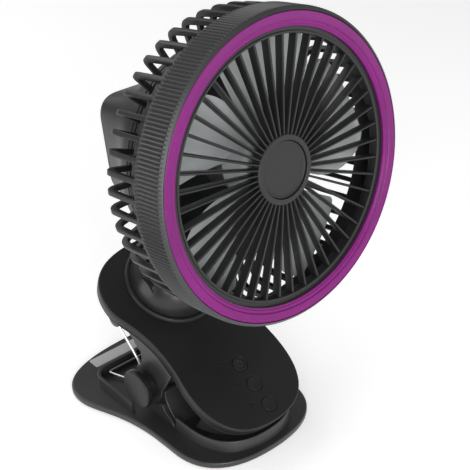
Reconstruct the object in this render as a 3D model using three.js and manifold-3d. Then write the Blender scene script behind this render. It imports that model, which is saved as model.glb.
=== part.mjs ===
// Rechargeable clip fan: a round fan head on a tilting arm, a swivelling dome neck,
// and a two-jaw clip closed by a double torsion spring.
// Millimetres. +Z up, the fan blows towards -Y, the part is symmetric about x = 0.
// Origin: centre of the lower jaw's flat underside.
import * as THREE from 'three';
import { mergeVertices } from 'three/addons/utils/BufferGeometryUtils.js';
import Module from 'manifold-3d';

const wasm = await Module();
wasm.setup();

// ---- driving dimensions -------------------------------------------------
const GAP = 0.3;                    // between pieces that seat on each other
const RUN = 0.35;                   // round pieces that turn

// fan head, measured back from the front face of the trim ring
const HEAD_HEIGHT = 210.6;          // centre of that face above the table
const HEAD_FRONT = -86;             // centre of that face along Y
const HEAD_TILT = 10;               // upward tilt of the blowing direction, degrees
const BEZEL_RADIUS = 91.4;          // gripping band around the front
const BEZEL_DEPTH = 22;
const BEZEL_WALL = 3.1;
const CHAMFER = 3.5;                // plain front edge of the band
const TRIM_RADIUS = 88;             // coloured ring, outside
const TRIM_WIDTH = 7.8;
const TRIM_THICK = 3.4;
const TRIM_STEP = 0.8;
const TRIM_RIM = 0.6;                // bare edge of the band outside the ring
const OPENING_RADIUS = 75.5;        // air opening of the front grille
const GRILLE_RECESS = 3.3;          // grille face behind the trim ring's face
const GRILLE_FRAME_DEPTH = 6;
const GRILLE_FLANGE = 2.3;
const GRILLE_CROWN = 0.5;
const BEZEL_LIP = 5;
const BEZEL_LIP_THICK = 2;
const RIB_COUNT = 45;
const RIB_PHASE = 3.3;              // degrees
const RIB_THICK = 1.6;
const RIB_DEPTH = 7;
const HUB_RADIUS = 20.5;
const HUB_CAP_RADIUS = 16.7;
const HUB_CAP_THICK = 2.6;
const HUB_CAP_RECESS = 0.9;

// rear cage
const FIN_COUNT = 50;
const FIN_PHASE = 2.4;              // degrees
const FIN_THICK = 3.2;
const FIN_BAR = 3.9;                // width of a fin's bent bar
const FIN_RADIUS = 90.4;            // outer face at the band
const FIN_TAPER = 1.2;              // drop of that face towards the back
const FIN_CORNER = 5;
const CAGE_BACK = 54.4;
const CAGE_RING = 4;
const DUCT_WALL = 2.6;
const DUCT_START = 11;
const DUCT_END = 29;
const PLATE_RADIUS = 66;            // motor plate inside the fins
const PLATE_THICK = 2.6;
const PLATE_STEP = 4;               // rim of the plate behind the cage's ring

// rear housing
const HOUSING_BACK = 101;
const HOUSING_HALF = 55;            // half width of its rear face
const HOUSING_TOP = 44;
const HOUSING_CORNER = 14;
const HOUSING_SHOULDER = -6;        // below this the sides run in to the arm
const HOUSING_NECK_HALF = 22;
const HOUSING_BOTTOM = -56;
const HOUSING_WALL = 2.6;
const HOUSING_EDGE = 5;             // rounding of the rear face's edge
const ARM_HALF = 10;                // knuckle in the neck's slot
const KNUCKLE_RADIUS = 8;
const ARM_RISE = 21;                // straight part above the tilt pin
const ARM_LEAN_FRONT = 26;          // and how far forward it has come by then
const ARM_LEAN_BACK = 7;

// motor and rotor
const MOTOR_RADIUS = 19;
const MOTOR_LENGTH = 20;
const MOTOR_WALL = 1.6;
const SHAFT_RADIUS = 2;
const BUSH_RADIUS = 5;
const BUSH_LENGTH = 5;
const ROTOR_FRONT = 15;
const ROTOR_HUB_RADIUS = 21;
const ROTOR_HUB_LENGTH = 19;
const ROTOR_WALL = 2;
const BLADE_COUNT = 5;
const BLADE_TIP = 79.5;
const BLADE_CHORD = 54;             // degrees around the axis
const BLADE_RISE = 17;              // front edge to back edge along the axis
const BLADE_THICK = 1.8;
const BLADE_SWEEP = 14;             // lead of the tip over the root, degrees
const BLADE_PHASE = 0;

// upper jaw, in its own sloping frame: s back from the front tip, n up from the top face
const JAW_SLOPE = 28.9;
const JAW_TIP_Y = -79.5;
const JAW_TIP_Z = 24.4;
const UPPER = { length: 157, front: 41, frontAt: 42, waist: 39.5, waistAt: 66, rear: 52, rearAt: 121 };
const UPPER_WALL = 2.4;
const SKIRT = 8.6;                  // depth of the top shell's rim
const SKIRT_TUCK = 1;               // how far the rim curves in
const EDGE = 0.8;
const FLOOR_THICK = 2.6;
const FLOOR_TUCK = 3.5;
const EAR_THICK = 2.4;
const EAR_OUTSIDE = 39.2;
const EAR_RADIUS = 14.2;
const BELLY_HALF = 36;
const BELLY_FRONT = 63.5;
const BELLY_REAR = 102;
const BELLY_WALL = 1.6;
const CELL_RADIUS = 9;
const CELL_LENGTH = 65;
const CELL_NIB = 1.4;                // raised positive end
const LUG_S = 118;                // spring lug under the handle
const LUG_N = -16;
const LUG_RADIUS = 6;
const LUG_INSIDE = 38;
const LUG_OUTSIDE = 45;
const BUTTON_X = 4;
const BUTTON_FIRST = 44.5;
const BUTTON_PITCH = 16.5;
const BUTTON_COUNT = 3;
const BUTTON_RADIUS = 5.2;
const BUTTON_TRAVEL = 0.6;
const BUTTON_PROUD = 0.3;
const BUTTON_EDGE = 0.5;
const BUTTON_FLANGE = 1;             // keeps the button in its hole
const BUTTON_STEM = 2;
const LIGHT_SIDE = 11.5;            // indicator beside its button
const LIGHT_BACK = 5.5;
const LIGHT_RADIUS = 0.8;
const BOARD_HALF = 15;
const BOARD_FRONT = 8;
const BOARD_REAR = 59;
const BOARD_THICK = 1.6;
const PORT_WIDTH = 9;
const PORT_HEIGHT = 3.2;
const PORT_DEPTH = 7;

// neck
const DOME_S = 118.7;
const DOME_CENTRE = -4;             // below the jaw's top face
const DOME_RADIUS = 31;
const DOME_WALL = 3;
const DOME_FLANGE = 2.4;
const DOME_FLANGE_THICK = 2;
const COLLAR_WIDTH = 3.6;
const COLLAR_HEIGHT = 4.2;
const TILT_PIN_UP = 13;             // above the dome's centre
const TILT_PIN_RADIUS = 2.5;
const TILT_FORWARD = 35;            // degrees
const TILT_BACK = 45;

// lower jaw, from the origin
const LOWER = { length: 159.5, front: 53, frontAt: 41, waist: 53, waistAt: 52, rear: 68.5, rearAt: 126 };
const LOWER_THICK = 4.5;
const MOUTH = { length: 130, front: 39.5, frontAt: 40, waist: 39.2, waistAt: 60, rear: 39.2, rearAt: 90 };
const MOUTH_SETBACK = 5;            // lip behind the plate's front tip
const LIP_TOP = 12.5;
const LIP_WALL = 2.6;
const LIP_END = -24;
const THROAT_REAR = -10.2;
const THROAT_TOP = 25;
const THROAT_FOOT = -23;
const THROAT_WALL = 3;
const PIVOT_Y = 4;
const PIVOT_Z = 26;
const PIN_RADIUS = 2.5;
const BEARER_INSIDE = 22.5;         // lower ears, either side of the middle
const BEARER_THICK = 3;
const BEARER_RADIUS = 8.6;
const CAP_RADIUS = 13.6;
const CAP_FACE = 50;
const CAP_THICK = 4.6;
const CAP_COLLAR = 9.6;
const TRAY_HALF = 51;
const TRAY_REAR = 56;
const TRAY_FRONT = 8;
const TRAY_TOP = 11.8;
const TRAY_WALL = 2.6;
const TRAY_CORNER = 12;
const PAD_THICK = 3;

// clip spring
const WIRE = 1.7;
const COIL_RADIUS = 7.8;
const COIL_OUTSIDE = 35.4;          // outermost curl from the middle
const COIL_PITCH = 2.5;
const COIL_TURNS = 3;
const SPRING_LEAVE = 37;            // where the wire leaves the last curl, degrees
const SPRING_REAR = 51.4;
const SPRING_HALF = 39;
const SPRING_BAR_Z = 7.6;
const SPRING_CORNER = 3;

const RAD = Math.PI / 180;
const ROUND = 48;                   // sides of a large circle
const MIDDLE = 28;
const SMALL = 16;                   // sides of a small one

// ---- solids -------------------------------------------------------------
function solid(geometry) {
  const bare = geometry.clone();
  bare.deleteAttribute('normal');
  bare.deleteAttribute('uv');
  const merged = mergeVertices(bare, 1e-4);
  const place = merged.attributes.position.array;
  const index = merged.index.array;
  const faces = [];
  let volume = 0;
  for (let i = 0; i < index.length; i += 3) {
    const [a, b, c] = [index[i], index[i + 1], index[i + 2]];
    if (a === b || b === c || c === a) continue;
    faces.push(a, b, c);
    const [p, q, r] = [a, b, c].map((v) => new THREE.Vector3().fromArray(place, 3 * v));
    volume += p.dot(q.cross(r));
  }
  if (volume < 0) for (let i = 0; i < faces.length; i += 3) [faces[i + 1], faces[i + 2]] = [faces[i + 2], faces[i + 1]];
  return new wasm.Manifold(new wasm.Mesh({
    numProp: 3, vertProperties: Float32Array.from(place), triVerts: Uint32Array.from(faces),
  }));
}

function geometryOf(body) {
  const mesh = body.getMesh();
  const geometry = new THREE.BufferGeometry();
  geometry.setAttribute('position', new THREE.BufferAttribute(Float32Array.from(mesh.vertProperties), 3));
  geometry.setIndex(new THREE.BufferAttribute(Uint32Array.from(mesh.triVerts), 1));
  geometry.computeVertexNormals();
  return geometry;
}

const join = (bodies) => bodies.reduce((sum, body) => sum.add(body));

// profile of [radius, height] pairs turned about Y; it closes on itself unless it meets the axis
function turned(profile, sides = ROUND) {
  const points = profile.map(([r, y]) => new THREE.Vector2(r, y));
  const onAxis = profile[0][0] === 0 && profile[profile.length - 1][0] === 0;
  if (!onAxis) points.push(points[0].clone());
  return new THREE.LatheGeometry(points, sides);
}

const uprightTurned = (profile, sides) => turned(profile, sides).rotateX(Math.PI / 2);

function drum(radius, from, to, sides = SMALL) {
  return turned([[0, from], [radius, from], [radius, to], [0, to]], sides);
}

// a round bar along X
const crossDrum = (radius, from, to, sides = SMALL) => drum(radius, from, to, sides).rotateZ(-Math.PI / 2);

function prism(shape, from, to, curveSteps = 8) {
  const options = { depth: to - from, bevelEnabled: false, curveSegments: curveSteps };
  return new THREE.ExtrudeGeometry(shape, options).translate(0, 0, from);
}

// a side profile drawn in (Y, Z) and carried along X
function sideways(shape, from, to, curveSteps) {
  const turn = new THREE.Matrix4().makeBasis(
    new THREE.Vector3(0, 1, 0), new THREE.Vector3(0, 0, 1), new THREE.Vector3(1, 0, 0));
  return prism(shape, from, to, curveSteps).applyMatrix4(turn);
}

function polygon(points) {
  return new THREE.Shape(points.map(([x, y]) => new THREE.Vector2(x, y)));
}

function roundedBox(x0, x1, y0, y1, radius) {
  const shape = new THREE.Shape();
  shape.absarc(x1 - radius, y0 + radius, radius, -Math.PI / 2, 0);
  shape.absarc(x1 - radius, y1 - radius, radius, 0, Math.PI / 2);
  shape.absarc(x0 + radius, y1 - radius, radius, Math.PI / 2, Math.PI);
  shape.absarc(x0 + radius, y0 + radius, radius, Math.PI, Math.PI * 1.5);
  return shape;
}

// skin over a row of closed rings that all have the same number of points
function loft(rings) {
  const count = rings[0].length;
  const geometry = new THREE.BufferGeometry().setFromPoints(rings.flat());
  const index = [];
  for (let k = 0; k + 1 < rings.length; k++) {
    for (let i = 0; i < count; i++) {
      const [a, b] = [k * count + i, k * count + (i + 1) % count];
      index.push(a, b, b + count, a, b + count, a + count);
    }
  }
  for (const [start, ring, flip] of [[0, rings[0], true], [(rings.length - 1) * count, rings.at(-1), false]]) {
    for (const [a, b, c] of THREE.ShapeUtils.triangulateShape(flatten(ring), [])) {
      index.push(...(flip ? [start + a, start + c, start + b] : [start + a, start + b, start + c]));
    }
  }
  geometry.setIndex(index);
  return geometry;
}

// a ring seen along the axis in which it is thinnest
function flatten(ring) {
  const size = new THREE.Box3().setFromPoints(ring).getSize(new THREE.Vector3());
  if (size.z <= size.x && size.z <= size.y) return ring.map((p) => new THREE.Vector2(p.x, p.y));
  if (size.y <= size.x) return ring.map((p) => new THREE.Vector2(p.z, p.x));
  return ring.map((p) => new THREE.Vector2(p.y, p.z));
}

// ---- outlines -----------------------------------------------------------
// Bell-shaped plan of a jaw, drawn inset all round: round front, slight waist, wide rear.
function jawPlan(plan, inset = 0) {
  const { length, front, frontAt, waist, waistAt, rear, rearAt } = plan;
  const [f, w, r] = [front - inset, waist - inset, rear - inset];
  const [tip, end] = [inset, length - inset];
  const square = 0.67;              // how full the two ends are
  const half = new THREE.Path();
  half.moveTo(0, tip);
  half.bezierCurveTo(f * square, tip, f, frontAt - (frontAt - tip) * square, f, frontAt);
  const step = (waistAt - frontAt) / 2;
  half.bezierCurveTo(f, frontAt + step, w, waistAt - step, w, waistAt);
  const run = rearAt - waistAt;
  half.bezierCurveTo(w, waistAt + run * 0.6, r, rearAt - run * 0.24, r, rearAt);
  half.bezierCurveTo(r, rearAt + (end - rearAt) * square, r * square, end, 0, end);
  const right = half.getPoints(5);
  const left = right.slice(1, -1).reverse().map((p) => new THREE.Vector2(-p.x, p.y));
  return [...right, ...left];
}

const planRing = (plan, inset, height) => jawPlan(plan, inset).map((p) => new THREE.Vector3(p.x, p.y, height));
const planShape = (plan, inset) => new THREE.Shape(jawPlan(plan, inset));

// ---- fan head: local x across, y back along the fan's axis, z up the face -------
const bezelInside = BEZEL_RADIUS - BEZEL_WALL;
const grilleFace = GRILLE_RECESS;
const flangeFront = TRIM_THICK + GAP;
const flangeBack = flangeFront + GRILLE_FLANGE;
const lipFront = flangeBack + GAP;

function frontBezel() {
  const seat = TRIM_RADIUS + GAP;
  const lip = bezelInside - BEZEL_LIP;
  return solid(turned([
    [seat, 0], [seat + TRIM_RIM, 0], [BEZEL_RADIUS, CHAMFER], [BEZEL_RADIUS, BEZEL_DEPTH],
    [bezelInside, BEZEL_DEPTH], [bezelInside, lipFront + BEZEL_LIP_THICK], [lip, lipFront + BEZEL_LIP_THICK],
    [lip, lipFront], [seat, lipFront],
  ]));
}

function trimRing() {
  const inner = TRIM_RADIUS - TRIM_WIDTH;
  return solid(turned([
    [inner, TRIM_THICK], [inner, 2 * TRIM_STEP], [inner + TRIM_WIDTH * 0.3, TRIM_STEP], [TRIM_RADIUS - TRIM_STEP, 0],
    [TRIM_RADIUS, TRIM_STEP], [TRIM_RADIUS, TRIM_THICK],
  ]));
}

function frontGrille() {
  const frameOut = TRIM_RADIUS - TRIM_WIDTH - GAP;
  const half = RIB_PHASE * RAD + Math.PI / RIB_COUNT - Math.PI / 2;
  const hubBack = grilleFace + RIB_DEPTH;
  const frame = solid(turned([
    [OPENING_RADIUS, grilleFace], [frameOut, grilleFace - GRILLE_CROWN], [frameOut, flangeFront],
    [TRIM_RADIUS, flangeFront], [TRIM_RADIUS, flangeBack], [frameOut + 1, flangeBack],
    [OPENING_RADIUS, grilleFace + GRILLE_FRAME_DEPTH],
  ], RIB_COUNT).rotateY(-half));
  const hub = solid(turned([
    [0, grilleFace + HUB_CAP_THICK], [HUB_CAP_RADIUS + GAP, grilleFace + HUB_CAP_THICK],
    [HUB_CAP_RADIUS + GAP, grilleFace - GRILLE_CROWN], [HUB_RADIUS, grilleFace], [HUB_RADIUS, hubBack], [0, hubBack],
  ], RIB_COUNT).rotateY(-half));
  const ribs = [];
  for (let i = 0; i < RIB_COUNT; i++) {
    const bar = new THREE.BoxGeometry(OPENING_RADIUS - HUB_RADIUS + 2, RIB_DEPTH - 1.5, RIB_THICK);
    bar.translate((OPENING_RADIUS + HUB_RADIUS) / 2, grilleFace + RIB_DEPTH / 2, 0);
    ribs.push(solid(bar.rotateY(-(RIB_PHASE + i * 360 / RIB_COUNT) * RAD)));
  }
  return join([frame, hub, ...ribs]);
}

function hubCap() {
  const face = grilleFace + HUB_CAP_RECESS;
  return solid(turned([
    [0, face], [HUB_CAP_RADIUS - 1.2, face], [HUB_CAP_RADIUS, face - 0.5],
    [HUB_CAP_RADIUS, grilleFace + HUB_CAP_THICK - GAP], [0, grilleFace + HUB_CAP_THICK - GAP],
  ], RIB_COUNT));
}

const ductOut = bezelInside - GAP;
const ductIn = ductOut - DUCT_WALL;
const finFoot = BEZEL_DEPTH + GAP;
const ringBack = CAGE_BACK - 0.4;
const ringFront = CAGE_BACK - FIN_BAR;

// one bent bar: straight back from the band, round the corner, and in towards the motor plate
function finProfile() {
  const back = FIN_RADIUS - FIN_TAPER;
  const shape = new THREE.Shape();
  shape.moveTo(ductOut - 0.8, finFoot);
  shape.lineTo(FIN_RADIUS, finFoot);
  shape.lineTo(back, CAGE_BACK - FIN_CORNER);
  shape.lineTo(back - FIN_CORNER * 0.3, CAGE_BACK - FIN_CORNER * 0.3);
  shape.lineTo(back - FIN_CORNER, CAGE_BACK);
  shape.lineTo(PLATE_RADIUS + CAGE_RING - 1, CAGE_BACK);
  shape.lineTo(PLATE_RADIUS + CAGE_RING - 1, ringFront);
  shape.lineTo(back - FIN_BAR - FIN_CORNER, ringFront);
  shape.lineTo(back - FIN_BAR, ringFront - FIN_CORNER);
  shape.lineTo(ductOut - 0.8, DUCT_END - 0.5);
  return shape;
}

function rearCage() {
  const duct = solid(turned([
    [ductIn, DUCT_START], [ductOut, DUCT_START], [ductOut, DUCT_END], [ductIn, DUCT_END],
  ], FIN_COUNT).rotateY(-FIN_PHASE * RAD));
  const ring = solid(turned([
    [PLATE_RADIUS + GAP, ringFront], [PLATE_RADIUS + CAGE_RING, ringFront],
    [PLATE_RADIUS + CAGE_RING, ringBack], [PLATE_RADIUS + GAP, ringBack],
  ], FIN_COUNT).rotateY(-FIN_PHASE * RAD));
  const fins = [];
  for (let i = 0; i < FIN_COUNT; i++) {
    const fin = prism(finProfile(), -FIN_THICK / 2, FIN_THICK / 2, 2);
    fins.push(solid(fin.rotateY(-(FIN_PHASE + i * 360 / FIN_COUNT) * RAD)));
  }
  return join([duct, ring, ...fins]);
}

const plateBack = CAGE_BACK + GAP + PLATE_THICK;
const canFront = plateBack - PLATE_THICK - MOTOR_LENGTH;

// disc that closes the rear housing and carries the motor; its rim lies behind the cage's ring
function motorPlate() {
  const face = plateBack - PLATE_THICK;
  return solid(turned([
    [BUSH_RADIUS * 2, face], [PLATE_RADIUS, face], [PLATE_RADIUS, face + 0.2], [PLATE_RADIUS + PLATE_STEP, face + 0.2],
    [PLATE_RADIUS + PLATE_STEP, plateBack], [BUSH_RADIUS * 2, plateBack],
  ], ROUND));
}

// plan of the rear face: flat crown, round shoulders, sides running in to the arm
function housingPlan(inset) {
  const [half, top, neck] = [HOUSING_HALF - inset, HOUSING_TOP - inset, HOUSING_NECK_HALF - inset];
  const corner = HOUSING_CORNER - inset * 0.5;
  const low = HOUSING_BOTTOM + inset;
  const side = new THREE.Path();
  side.moveTo(0, top);
  for (const step of [0.34, 0.67, 1]) side.lineTo((half - corner) * step, top);
  side.quadraticCurveTo(half, top, half, top - corner);
  for (const step of [0.5, 1]) side.lineTo(half, top - corner + (HOUSING_SHOULDER - top + corner) * step);
  side.bezierCurveTo(half, HOUSING_SHOULDER - 14, neck + 4, low + 26, neck, low + 6);
  side.quadraticCurveTo(neck, low, neck - 6, low);
  side.lineTo(0, low);
  const right = side.getPoints(4);
  const left = right.slice(1, -1).reverse().map((p) => new THREE.Vector2(-p.x, p.y));
  return [...right, ...left];
}

// blend of 0 gives the plate's circle, 1 the rear plan
function housingRing(depth, blend, inset, radius) {
  return housingPlan(inset).map((p) => {
    const circle = p.clone().setLength(radius - inset);
    const mid = circle.lerp(p, blend);
    return new THREE.Vector3(mid.x, depth, mid.y);
  });
}

function rearHousing() {
  const front = plateBack + GAP;
  const radius = PLATE_RADIUS + PLATE_STEP;
  const edge = HOUSING_BACK - HOUSING_EDGE;
  const outer = solid(loft([
    housingRing(front, 0, 0, radius), housingRing(front + 6, 0.08, 0, radius),
    housingRing((front + edge) / 2, 0.5, 0, radius), housingRing(edge, 1, 0, radius),
    housingRing(HOUSING_BACK - 1.5, 1, HOUSING_EDGE * 0.35, radius), housingRing(HOUSING_BACK, 1, HOUSING_EDGE, radius),
  ]));
  const inner = solid(loft([
    housingRing(front - 1, 0, HOUSING_WALL, radius), housingRing(front + 6, 0.08, HOUSING_WALL, radius),
    housingRing((front + edge) / 2, 0.5, HOUSING_WALL, radius),
    housingRing(edge, 1, HOUSING_WALL, radius), housingRing(HOUSING_BACK - HOUSING_WALL, 1, HOUSING_EDGE, radius),
  ]));
  const shell = outer.subtract(inner);
  const pin = tiltPinInHead();
  return shell.add(arm(pin).subtract(inner)).subtract(solid(
    crossDrum(TILT_PIN_RADIUS + RUN, -ARM_HALF - 1, ARM_HALF + 1).translate(0, pin.y, pin.z)));
}

// rounded section of the arm at height z
function armRing(half, front, back, z) {
  const radius = Math.min(half, (back - front) / 2) * 0.55;
  return roundedBox(-half, half, front, back, radius).getPoints(4).map((p) => new THREE.Vector3(p.x, p.y, z));
}

function arm(pin) {
  const reach = KNUCKLE_RADIUS;
  const top = solid(loft([
    armRing(HOUSING_NECK_HALF + 4, 62, HOUSING_BACK - 3, HOUSING_BOTTOM + 24),
    armRing(HOUSING_NECK_HALF - 2, 74, HOUSING_BACK - 1, HOUSING_BOTTOM + 4),
    armRing(ARM_HALF + 3, 90, HOUSING_BACK + 6, HOUSING_BOTTOM - 14),
    armRing(ARM_HALF, pin.y - ARM_LEAN_FRONT, pin.y - ARM_LEAN_BACK, pin.z + ARM_RISE),
    armRing(ARM_HALF, pin.y - reach - 1, pin.y + reach - 1, pin.z),
  ]));
  return top.add(solid(crossDrum(KNUCKLE_RADIUS, -ARM_HALF, ARM_HALF).translate(0, pin.y, pin.z)));
}

function motorCan() {
  const back = plateBack - PLATE_THICK - GAP;
  return solid(turned([
    [BUSH_RADIUS + GAP, canFront], [MOTOR_RADIUS, canFront],
    [MOTOR_RADIUS, back], [BUSH_RADIUS + GAP, back], [BUSH_RADIUS + GAP, back - BUSH_LENGTH],
    [MOTOR_RADIUS - MOTOR_WALL, back - BUSH_LENGTH], [MOTOR_RADIUS - MOTOR_WALL, canFront + BUSH_LENGTH],
    [BUSH_RADIUS + GAP, canFront + BUSH_LENGTH],
  ], MIDDLE));
}

function bush(front) {
  return solid(turned([
    [SHAFT_RADIUS + RUN, front], [BUSH_RADIUS, front], [BUSH_RADIUS, front + BUSH_LENGTH],
    [SHAFT_RADIUS + RUN, front + BUSH_LENGTH],
  ], SMALL));
}

const shaftFront = ROTOR_FRONT + ROTOR_WALL + GAP;

function motorShaft() {
  return solid(drum(SHAFT_RADIUS, shaftFront, plateBack + 3, 24));
}

// point of a blade's middle surface: along the span t and the chord c, both 0 to 1
function bladePoint(t, c, side) {
  const radius = ROTOR_HUB_RADIUS - 1.5 + t * (BLADE_TIP - ROTOR_HUB_RADIUS + 1.5);
  const chord = BLADE_CHORD * (0.72 + 0.34 * Math.sin(Math.PI * Math.min(1, 0.15 + 0.75 * t)));
  const angle = (BLADE_PHASE + BLADE_SWEEP * t * t + chord * (c - 0.5)) * RAD;
  const rise = BLADE_RISE * (1.05 - 0.3 * t);
  const camber = 2.2 * Math.sin(Math.PI * c);
  const middle = ROTOR_FRONT + ROTOR_HUB_LENGTH / 2 + 0.5;
  const thick = BLADE_THICK * (0.45 + 0.55 * Math.sin(Math.PI * c));
  const depth = middle + rise * (c - 0.5) + camber + side * thick / 2;
  return new THREE.Vector3(radius * Math.cos(angle), depth, radius * Math.sin(angle));
}

function blade() {
  const [spans, chords] = [5, 5];
  const rings = [];
  for (let i = 0; i <= spans; i++) {
    const ring = [];
    for (let j = 0; j <= chords; j++) ring.push(bladePoint(i / spans, j / chords, 1));
    for (let j = chords; j >= 0; j--) ring.push(bladePoint(i / spans, j / chords, -1));
    rings.push(ring);
  }
  return rings;
}

function bladeSolid() {
  const rings = blade();
  const count = rings[0].length;
  const index = [];
  for (let k = 0; k + 1 < rings.length; k++) {
    for (let i = 0; i < count; i++) {
      const [a, b] = [k * count + i, k * count + (i + 1) % count];
      index.push(a, b, b + count, a, b + count, a + count);
    }
  }
  const last = (rings.length - 1) * count;
  for (let i = 0; i < count / 2 - 1; i++) {
    const [a, b, c, d] = [i, i + 1, count - 2 - i, count - 1 - i];
    index.push(a, c, b, a, d, c);
    index.push(last + a, last + b, last + c, last + a, last + c, last + d);
  }
  const geometry = new THREE.BufferGeometry().setFromPoints(rings.flat());
  geometry.setIndex(index);
  return solid(geometry);
}

function fanRotor() {
  const back = ROTOR_FRONT + ROTOR_HUB_LENGTH;
  const inside = ROTOR_HUB_RADIUS - ROTOR_WALL;
  const boss = SHAFT_RADIUS + GAP + ROTOR_WALL;
  const face = ROTOR_FRONT + ROTOR_WALL;
  const hub = solid(turned([
    [0, ROTOR_FRONT], [ROTOR_HUB_RADIUS - 3, ROTOR_FRONT], [ROTOR_HUB_RADIUS, ROTOR_FRONT + 3],
    [ROTOR_HUB_RADIUS, back], [inside, back], [inside, face + 1.5], [boss, face + 1.5], [boss, canFront - 1],
    [SHAFT_RADIUS + GAP, canFront - 1], [SHAFT_RADIUS + GAP, face], [0, face],
  ], MIDDLE));
  const cavity = solid(drum(inside, face + 1.5, back + 5, MIDDLE));
  const blades = [];
  for (let i = 0; i < BLADE_COUNT; i++) {
    const turn = new THREE.Matrix4().makeRotationY(-i * 2 * Math.PI / BLADE_COUNT);
    blades.push(bladeSolid().transform(turn.elements));
  }
  return join(blades).subtract(cavity).add(hub);
}

// ---- neck ---------------------------------------------------------------
// the jaw's sloping frame seen from the table's frame
const slope = JAW_SLOPE * RAD;
const jawPoint = (s, n) => new THREE.Vector3(
  0, JAW_TIP_Y + s * Math.cos(slope) - n * Math.sin(slope), JAW_TIP_Z + s * Math.sin(slope) + n * Math.cos(slope));

function inJaw(point) {
  const [y, z] = [point.y - JAW_TIP_Y, point.z - JAW_TIP_Z];
  return { s: y * Math.cos(slope) + z * Math.sin(slope), n: z * Math.cos(slope) - y * Math.sin(slope) };
}

function tiltPinInHead() {
  const tilt = HEAD_TILT * RAD;
  const pin = jawPoint(DOME_S, DOME_CENTRE + TILT_PIN_UP);
  const [y, z] = [pin.y - HEAD_FRONT, pin.z - HEAD_HEIGHT];
  return new THREE.Vector3(0, y * Math.cos(tilt) - z * Math.sin(tilt), y * Math.sin(tilt) + z * Math.cos(tilt));
}

// the neck's frame: origin at the dome's centre, z along the swivel axis, y up the jaw's slope
const flangeTop = -UPPER_WALL - DOME_CENTRE - RUN;
const flangeLow = flangeTop - DOME_FLANGE_THICK;

function neckDome() {
  const arc = (radius, from, to, steps) => Array.from({ length: steps + 1 }, (_, i) => {
    const a = from + (to - from) * i / steps;
    return [radius * Math.cos(a), radius * Math.sin(a)];
  });
  const inner = DOME_RADIUS - DOME_WALL;
  const outside = arc(DOME_RADIUS, flangeTop / DOME_RADIUS, Math.PI / 2, 8);
  outside[8][0] = 0;
  const inside = arc(inner, Math.PI / 2, 0, 5);
  inside[0][0] = 0;
  const flangeOut = DOME_RADIUS + DOME_FLANGE;
  const shell = solid(uprightTurned([
    ...outside.reverse(), [flangeOut, flangeTop], [flangeOut, flangeLow], [inner, flangeLow], ...inside.reverse(),
  ], MIDDLE));
  const ball = solid(uprightTurned(closedArc(inner + 1), MIDDLE));
  const cheeks = [-1, 1].map((side) => solid(crossDrum(KNUCKLE_RADIUS, ARM_HALF + RUN, DOME_RADIUS)
    .rotateZ(side < 0 ? Math.PI : 0).translate(0, 0, TILT_PIN_UP)).intersect(ball));
  const slot = tiltSlot();
  const hole = solid(crossDrum(TILT_PIN_RADIUS + GAP, -inner - 1.5, inner + 1.5).translate(0, 0, TILT_PIN_UP));
  return join([shell, ...cheeks]).subtract(slot).subtract(hole);
}

function closedArc(radius) {
  const steps = 6;
  const points = [[0, 0]];
  for (let i = 0; i <= steps; i++) {
    const a = i / steps * Math.PI / 2;
    points.push([i === steps ? 0 : radius * Math.cos(a), radius * Math.sin(a)]);
  }
  return points;
}

// room for the arm between its two stops, drawn about the tilt pin
function tiltSlot() {
  const half = KNUCKLE_RADIUS + RUN;
  const far = DOME_RADIUS * 1.6;
  // the arm leaves the pin roughly along the swivel axis
  const ray = (angle, along, across) => [
    -along * Math.sin(angle) - across * Math.cos(angle),
    TILT_PIN_UP + along * Math.cos(angle) - across * Math.sin(angle)];
  const [ahead, behind] = [(TILT_FORWARD + 4) * RAD, -(TILT_BACK + 4) * RAD];
  const wedge = polygon([
    ray(ahead, 0, half), ray(ahead, far, half), ray(behind, far, -half), ray(behind, 0, -half),
  ]);
  return solid(sideways(wedge, -ARM_HALF - RUN, ARM_HALF + RUN))
    .add(solid(crossDrum(half, -ARM_HALF - RUN, ARM_HALF + RUN).translate(0, 0, TILT_PIN_UP)));
}

function tiltPin() {
  const half = DOME_RADIUS - DOME_WALL - 6.5;
  return solid(crossDrum(TILT_PIN_RADIUS, -half, half, 24).translate(0, 0, TILT_PIN_UP));
}

// ---- upper jaw: local x across, y = s, z = n --------------------------------
const floorTop = -SKIRT - GAP;
const buttonAt = (i) => BUTTON_FIRST - i * BUTTON_PITCH;
const pivotInJaw = inJaw({ y: PIVOT_Y, z: PIVOT_Z });

function upperJawTop() {
  const outer = solid(loft([
    planRing(UPPER, SKIRT_TUCK, -SKIRT), planRing(UPPER, SKIRT_TUCK * 0.25, -SKIRT * 0.45),
    planRing(UPPER, 0, -EDGE * 1.6), planRing(UPPER, 0, -EDGE), planRing(UPPER, EDGE, 0),
  ]));
  const inner = solid(loft([
    planRing(UPPER, SKIRT_TUCK + UPPER_WALL - 0.4, -SKIRT - 1), planRing(UPPER, UPPER_WALL, -UPPER_WALL),
  ]));
  const cuts = [solid(uprightTurned([
    [0, -SKIRT], [DOME_RADIUS + RUN, -SKIRT], [DOME_RADIUS + RUN, 1], [0, 1]]).translate(0, DOME_S, 0))];
  for (let i = 0; i < BUTTON_COUNT; i++) {
    cuts.push(solid(uprightDrum(BUTTON_RADIUS + GAP, -SKIRT, 1, BUTTON_X, buttonAt(i))));
    cuts.push(solid(uprightDrum(LIGHT_RADIUS + GAP, -SKIRT, 1, BUTTON_X - LIGHT_SIDE, buttonAt(i) + LIGHT_BACK, 12)));
  }
  const port = roundedBox(-PORT_WIDTH / 2 - GAP, PORT_WIDTH / 2 + GAP, -SKIRT - 3, -SKIRT + PORT_HEIGHT + GAP, 1.5);
  cuts.push(solid(prism(port, -UPPER.length - 2, -UPPER.length + 6).rotateX(Math.PI / 2)));
  return outer.subtract(inner).subtract(join(cuts));
}

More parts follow.
